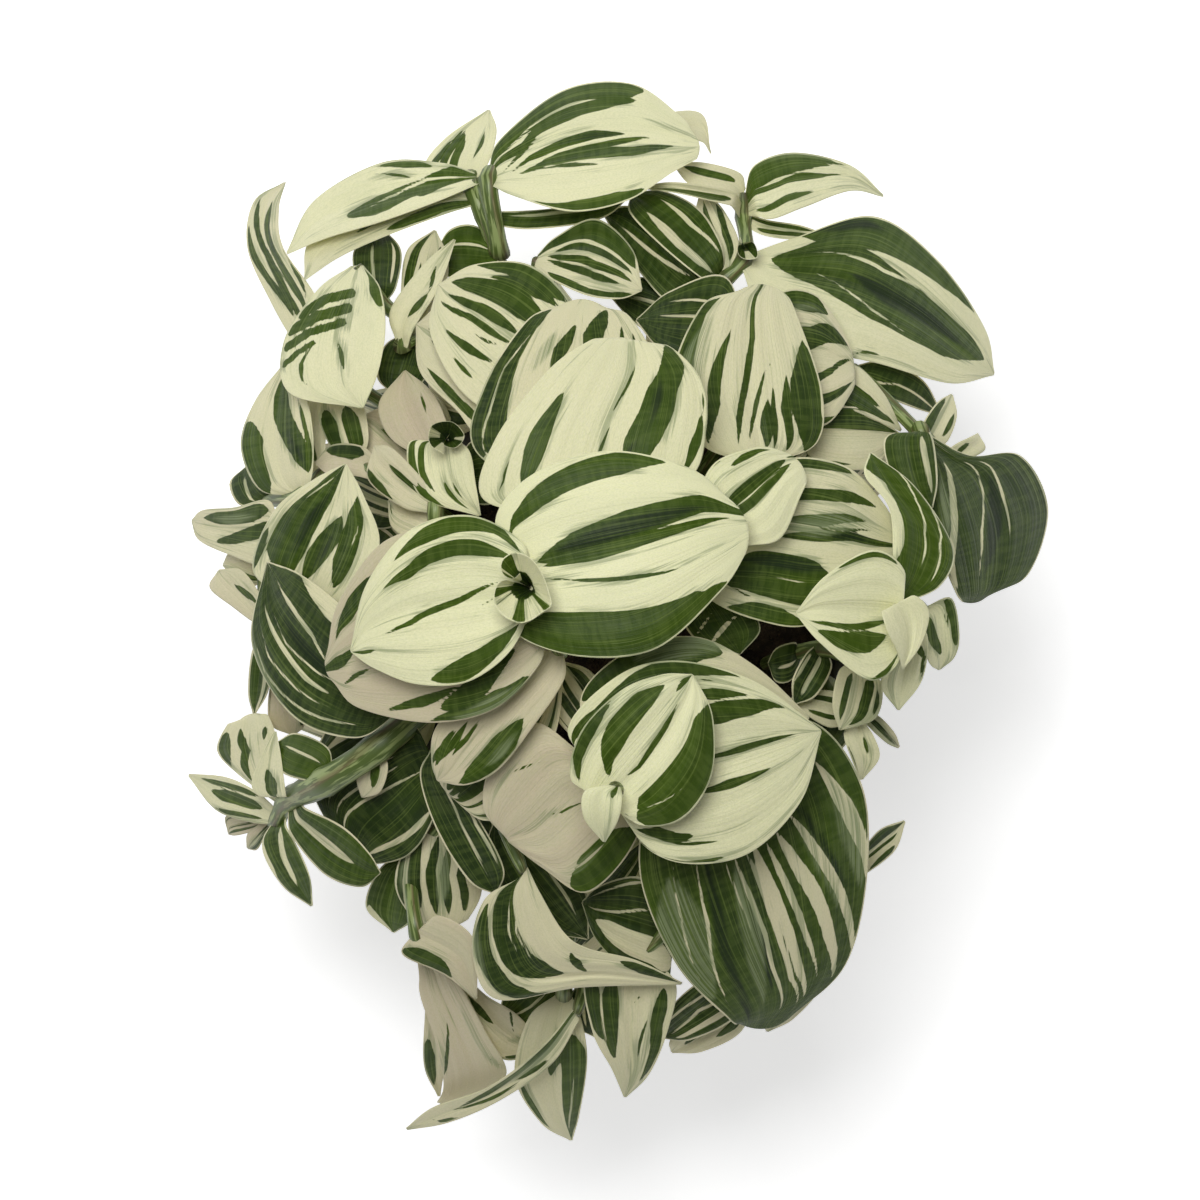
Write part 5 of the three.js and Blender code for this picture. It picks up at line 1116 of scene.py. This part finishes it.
def addLeaf(bm, one, axis, dice):
    plan = planOf(one)
    width, length, green = plan["width"], plan["length"], one.get("green")
    rows = marginRows(plan, blade["rows"])
    grow, least = (1, band["leastLine"]) if green else (band["grow"], band["least"])
    bands = bandsOf(one.get("bands", ()), rows, grow, least)
    if "share" in one:
        bands += looseBands(dice, one["share"])
    veils, pales, darks = (bandsOf(one.get(kind, ()), rows, 1, band["leastLine"])
                           for kind in ("veils", "pales", "darks"))
    shift = heartOf(axis, footOf(one)) - footOf(one)
    waves = [dice.uniform(*between) for between in blade["waves"]]
    seed = dice.random()
    coarse = 1
    rowCount = clamp(round(length / (blade["along"] * coarse)), *blade["rowRange"])
    columnCount = clamp(round(width / (blade["across"] * coarse)), *blade["columnRange"])
    # Painted shade: the lower a leaf's layer, the more buff and the darker green it is made, for the shade of
    # the leaves above it
    underShade = clamp((blade["underShadeLayer"] - one["layer"]) / blade["underShadeFade"])
    age = min(1, one["age"] + blade["underShadeBuff"] * underShade)
    deep = min(1, one["deep"] + blade["underShadeDark"] * underShade)

    def placeOf(u, v):
        hold = max(0, 1 - u / blade["sheathShare"])
        return leafPlace(one, plan, u, v, waves) + shift * hold * hold * (3 - 2 * hold)

    def paintOf(u, v):
        left, right = curvePoint(plan["left"], u), curvePoint(plan["right"], u)
        here = (left - right).length
        depth = bandDepth(bands, u, v, here)
        if "crosses" in one:
            depth = max(depth, crossDepth(one["crosses"], right.lerp(left, (1 + v) / 2)))
        if green:
            depth = -depth
        depth = min(depth, (1 - abs(v)) * here / 2 - band["rim"], -bandDepth(pales, u, v, here))
        return {"band": clamp(depth, -band["deepest"], band["deepest"]),
                "veil": clamp(bandDepth(veils, u, v, here) + band["veilEdge"]),
                "darkAndPaintedShade": clamp(bandDepth(darks, u, v, here) + band["darkEdge"]),
                "age": age, "deep": deep, "seed": seed}

    def uvOf(u, v):
        return v * width / 2 / blade["mapUnit"], u * length / blade["mapUnit"]

    addSheet(bm, rowCount, columnCount, placeOf, paintOf, uvOf)


# A young leaf still rolled into a cup
def addCup(bm, one, axis, dice):
    rim = [Vector(point) for point in one["rim"]]
    base, foot, rise = Vector(one["base"]), footOf(one), one["rise"]
    shift = heartOf(axis, foot) - foot
    girth = sum((b - a).length for a, b in zip(rim, rim[1:]))
    bands = [([(-1, v), (2, v)], half) for v, half in one["stripes"]]
    seed = dice.random()
    heart, heartFade = roll["heart"]
    darkAndPaintedShade, cupShadeFade = roll["darkAndPaintedShade"]

    def placeOf(u, v):
        edge = curvePoint(rim, (1 - v) / 2)
        hold = max(0, 1 - u / roll["sheathShare"])
        flat = base + (edge - base) * (roll["bottom"] + (1 - roll["bottom"]) * u ** roll["flare"])
        height = foot.z + rise * (roll["lift"] + (1 - roll["lift"]) * u)
        return Vector((*flat, height)) + shift * hold * hold

    def paintOf(u, v):
        depth = min(bandDepth(bands, u, v, girth), (1 - abs(v)) * girth / 2 - roll["seam"],
                    (1 - u) * rise - roll["rim"])
        # Painted shade: the bottom of the cup is made green, then darkened to near black, for the shade down
        # inside the roll
        depth = max(depth, heart - heartFade * u)
        return {"band": clamp(depth, -band["deepest"], band["deepest"]), "veil": 0,
                "darkAndPaintedShade": clamp(darkAndPaintedShade - cupShadeFade * u), "age": one["age"], "deep": one["deep"], "seed": seed}

    def uvOf(u, v):
        return v * girth / 2 / blade["mapUnit"], u

    columnCount = max(roll["leastColumns"], round(girth / roll["across"]))
    addSheet(bm, roll["rows"], columnCount, placeOf, paintOf, uvOf)


# A stem: a tube along its middle line with a swelling at each leaf
def addStem(bm, axis, leaves, thick, dice):
    layers, leafMap = layersOf(bm), mapOf(bm)
    seed = dice.random()
    hearts = [heartOf(axis, footOf(one)) for one in leaves]
    last = len(axis) - 1
    frames, run, side = [], 0, Vector((1, 0, 0))
    for i, point in enumerate(axis):
        ahead = (axis[min(i + 1, last)] - axis[max(i - 1, 0)]).normalized()
        side = (side - ahead * side.dot(ahead)).normalized()
        if i:
            run += (point - axis[i - 1]).length
        near = min((heart - point).length for heart in hearts)
        above = clamp((point.z - stem["thickFrom"]) / stem["thickOver"])
        radius = stem["radius"] * (1 + (thick - 1) * above)
        radius += stem["node"] * math.exp(-((near / stem["nodeReach"]) ** 2))
        radius *= min(1, stem["endShare"] + (last - i) * stem["step"] / stem["taper"])
        ring = math.exp(-((near / stem["ring"]) ** 2)) if i > stem["bareRings"] else 0
        frames.append((point, side, ahead.cross(side), radius, run, ring))
    made = bmesh.ops.create_grid(bm, x_segments=stem["sides"], y_segments=last, size=1)["verts"]
    faces = {face for vert in made for face in vert.link_faces}
    shares = {vert: (round((vert.co.y + 1) / 2 * last), vert.co.x) for vert in made}
    for face in faces:
        face.material_index = 1
        for loop in face.loops:
            i, x = shares[loop.vert]
            loop[leafMap].uv = (x * stem["mapTurn"], frames[i][4] / blade["mapUnit"])
    for vert, (i, x) in shares.items():
        point, side, up, radius, run, ring = frames[i]
        angle = math.pi * x
        turned = stem["blushStripes"] * angle + run * stem["blushTwist"]
        vert.co = (point + (side * math.cos(angle) + up * math.sin(angle)) * radius) * mm
        vert[layers["band"]] = stem["blush"] * math.sin(turned)
        vert[layers["veil"]], vert[layers["seed"]] = ring, seed
    bmesh.ops.remove_doubles(bm, verts=made, dist=weld)
    rims = {edge for face in faces if face.is_valid for edge in face.edges if edge.is_boundary}
    bmesh.ops.holes_fill(bm, edges=list(rims), sides=stem["sides"])
    for edge in rims:
        for face in edge.link_faces:
            face.material_index = 1


# Leaf and stem colours
leafLook = {
    "creamFresh": (0.80, 0.79, 0.50, 1), "creamAgedAndShaded": (0.52, 0.435, 0.315, 1),
    "creamShade": (0.60, 0.61, 0.39, 1), "greenFresh": (0.044, 0.082, 0.003, 1),
    "greenDeepAndShaded": (0.018, 0.034, 0.007, 1), "paleGreen": (0.26, 0.34, 0.085, 1),
    "veil": (0.215, 0.26, 0.13, 1), "darkAndPaintedShade": (0.008, 0.017, 0.006, 1), "stemGreen": (0.075, 0.115, 0.02, 1),
    "stemCream": (0.25, 0.31, 0.11, 1), "stemBlush": (0.15, 0.08, 0.05, 1), "ring": (0.055, 0.03, 0.024, 1),
}
# Noise on the leaf map: how it is stretched, its detail and its roughness
leafGrain = {
    "edge": ((11, 0.9, 1), 4, 0.6), "thread": ((26, 0.35, 3), 2, 0.5), "ripple": ((1.4, 9, 5), 2, 0.5),
    "cloud": ((1.1, 0.5, 7), 3, 0.55), "fleck": ((34, 22, 6), 2, 0.6), "drift": ((2.6, 0.4, 5), 3, 0.6),
    "veins": ((16, 0.25, 2), 2, 0.5), "cells": ((42, 30, 9), 1, 0.5), "lines": ((14, 0.8, 1), 3, 0.6),
}
# Where each finish begins and is full, then its least and most
leafMix = {
    "green": (-0.1, 0.1), "nearBand": (-4.0, 0.3, 0.1, 0.75), "greenThread": (0.56, 0.68),
    "paleThread": (0.46, 0.34), "shade": (0.35, 0.75, 0, 0.35), "fleck": (0.35, 0.7, 0, 0.16),
    "halo": (-1.8, -0.3), "haloDrift": (0.5, 0.6, 0, 0.62), "ripple": (0.4, 0.62, 0, 0.38),
    "darkAndPaintedShade": (0.25, 0.6, 0.35, 0.85), "veil": (0.34, 0.62, 0.08, 0.85), "gloss": (0.3, 0.7, 0.42, 0.56),
    "stemLines": (0.48, 0.56), "blush": (0.2, 0.6, 0, 0.55), "ring": (0.5, 0.95, 0, 0.4),
}
leafAmount = {"edge": 0.8, "greenThread": 0.24, "paleThread": 0.22, "reach": 5.0, "tone": 1.6,
              "lighter": 0.22, "spread": 60.0, "cells": 0.25, "ripple": 0.5}


def attributes(tree, *names):
    return [addNode(tree, "Attribute", attribute_name=name).outputs["Fac"] for name in names]


def leafNoise(tree, place, name):
    scale, detail, roughness = leafGrain[name]
    return grain(tree, stretch(tree, place, scale), 1, detail, roughness)


def leafMaterial():
    made, tree, shader = newMaterial("leafSkin")
    bandFade, veiled, darkAndShadeAmount, age, deep, seed = attributes(tree, "band", "veil", "darkAndPaintedShade", "age", "deep", "seed")
    flat = addNode(tree, "UVMap", uv_map="leafUV").outputs[0]
    far = times(tree, seed, leafAmount["spread"])
    shift = addNode(tree, "CombineXYZ", far, far, seed).outputs[0]
    place = addNode(tree, "VectorMath", flat, shift, operation="ADD").outputs[0]
    edge, thread, ripple, cloud, fleck, drift, veins, cells = (leafNoise(tree, place, name) for name in (
        "edge", "thread", "ripple", "cloud", "fleck", "drift", "veins", "cells"))

    depth = plus(tree, bandFade, swing(tree, edge, leafAmount["edge"]))
    green = ramp(tree, depth, *leafMix["green"])
    near = ramp(tree, bandFade, *leafMix["nearBand"])
    greenThread = times(tree, ramp(tree, thread, *leafMix["greenThread"]), near)
    paleThread = ramp(tree, thread, *leafMix["paleThread"])

    # The age attribute turns cream to buff; on leaves in shade it also carries painted shade
    cream = mixColour(tree, age, leafLook["creamFresh"], leafLook["creamAgedAndShaded"])
    cream = mixColour(tree, ramp(tree, cloud, *leafMix["shade"]), cream, leafLook["creamShade"])
    cream = mixColour(tree, ramp(tree, fleck, *leafMix["fleck"]), cream, leafLook["paleGreen"])
    cream = mixColour(tree, times(tree, greenThread, leafAmount["greenThread"]), cream, leafLook["paleGreen"])
    reach = plus(tree, depth, swing(tree, thread, leafAmount["reach"]))
    halo = times(tree, ramp(tree, reach, *leafMix["halo"]), ramp(tree, drift, *leafMix["haloDrift"]))
    cream = mixColour(tree, halo, cream, leafLook["veil"])

    # The deep attribute darkens the green; on leaves in shade this darker green is partly painted shade
    tone = plus(tree, deep, swing(tree, drift, leafAmount["tone"]))
    leafy = mixColour(tree, tone, leafLook["greenFresh"], leafLook["greenDeepAndShaded"])
    lighter = mixColour(tree, leafAmount["lighter"], leafy, leafLook["paleGreen"])
    leafy = mixColour(tree, ramp(tree, ripple, *leafMix["ripple"]), leafy, lighter)
    leafy = mixColour(tree, times(tree, paleThread, leafAmount["paleThread"]), leafy, leafLook["paleGreen"])
    # Darker stripes, and the painted shade at the bottom of a cup, darken the green towards near black
    darkAndPaintedShade = times(tree, darkAndShadeAmount, ramp(tree, thread, *leafMix["darkAndPaintedShade"]))
    leafy = mixColour(tree, darkAndPaintedShade, leafy, leafLook["darkAndPaintedShade"])
    base = mixColour(tree, green, cream, leafy)
    veil = times(tree, veiled, ramp(tree, thread, *leafMix["veil"]))
    base = mixColour(tree, veil, base, leafLook["veil"])
    tree.links.new(base, shader.inputs["Base Color"])

    tree.links.new(ramp(tree, cloud, *leafMix["gloss"]), shader.inputs["Roughness"])
    shader.inputs["Specular IOR Level"].default_value = 0.16
    shader.inputs["Subsurface Weight"].default_value = 0.08
    shader.inputs["Subsurface Radius"].default_value = (0.9, 1.0, 0.4)
    shader.inputs["Subsurface Scale"].default_value = 0.0012
    height = plus(tree, veins, times(tree, cells, leafAmount["cells"]))
    height = plus(tree, height, times(tree, times(tree, ripple, green), leafAmount["ripple"]))
    setBump(tree, shader, height, 0.42, 0.0005)
    return made


def stemMaterial():
    made, tree, shader = newMaterial("stemSkin")
    blush, ring = attributes(tree, "band", "veil")
    lines = leafNoise(tree, addNode(tree, "UVMap", uv_map="leafUV").outputs[0], "lines")
    lined = ramp(tree, lines, *leafMix["stemLines"])
    base = mixColour(tree, lined, leafLook["stemGreen"], leafLook["stemCream"])
    base = mixColour(tree, ramp(tree, blush, *leafMix["blush"]), base, leafLook["stemBlush"])
    base = mixColour(tree, ramp(tree, ring, *leafMix["ring"]), base, leafLook["ring"])
    tree.links.new(base, shader.inputs["Base Color"])
    shader.inputs["Roughness"].default_value = 0.45
    setBump(tree, shader, lines, 0.4, 0.0003)
    return made


def buildShoot(name, shoot, materials, dice):
    axis = stemAxis(shoot)
    leaves = shoot["leaves"] + [skirtLeaf(axis, *row) for row in shoot["skirt"]]
    bm = bmesh.new()
    for one in leaves:
        (addCup if "rim" in one else addLeaf)(bm, one, axis, dice)
    addStem(bm, axis, shoot["leaves"], shoot["thick"], dice)
    finishPiece("leafy_" + name, bm, materials, ["stem_" + name])
    return len(leaves)


leafDice = random.Random(2024)
materials = [leafMaterial(), stemMaterial()]
leafCount = sum(buildShoot(name, shoot, materials, leafDice) for name, shoot in shoots.items())
faceCount = sum(len(piece.data.polygons) for piece in bpy.data.objects if piece.name.startswith("leafy_"))
print("foliage:", len(shoots), "leafy stems,", leafCount, "leaves,", faceCount, "faces")

# Floor and light, in metres
studio = {"floor": 3.0, "floorTone": 0.86, "paperTone": 1.02, "paper": (40, 2, 0.5), "paperMix": (0.3, 0.7),
          "floorGlow": 0.56, "world": 0.23, "key": 62, "keySize": 1.2, "keyPlace": (-0.35, 0.8, 2.75),
          "keyAim": (0, 0, 0.1)}


def floorMaterial():
    made, tree, shader = newMaterial("floorPaper")
    tone = studio["floorTone"]
    light = tone * studio["paperTone"]
    place = addNode(tree, "TexCoord").outputs["Object"]
    mottle = ramp(tree, grain(tree, place, *studio["paper"]), *studio["paperMix"])
    paper = mixColour(tree, mottle, (tone, tone, tone, 1), (light, light, light, 1))
    tree.links.new(paper, shader.inputs["Base Color"])
    shader.inputs["Roughness"].default_value = 0.9
    shader.inputs["Emission Color"].default_value = (1, 1, 1, 1)
    shader.inputs["Emission Strength"].default_value = studio["floorGlow"]
    return made


def buildStudio():
    bm = bmesh.new()
    bmesh.ops.create_grid(bm, x_segments=2, y_segments=2, size=studio["floor"])
    floor = objectOf("floor", bm)
    floor.data.materials.append(floorMaterial())
    lamp = bpy.data.lights.new("key", "AREA")
    lamp.energy, lamp.size = studio["key"], studio["keySize"]
    key = bpy.data.objects.new("key", lamp)
    key.location = studio["keyPlace"]
    key.rotation_euler = (Vector(studio["keyAim"]) - key.location).to_track_quat("-Z", "Y").to_euler()
    bpy.context.collection.objects.link(key)
    world = bpy.data.worlds.new("studio")
    world.use_nodes = True
    sky = world.node_tree.nodes["Background"]
    sky.inputs["Color"].default_value = (1, 1, 1, 1)
    sky.inputs["Strength"].default_value = studio["world"]
    bpy.context.scene.world = world
    bpy.context.scene.view_settings.view_transform = "Standard"


buildStudio()
print("studio set")
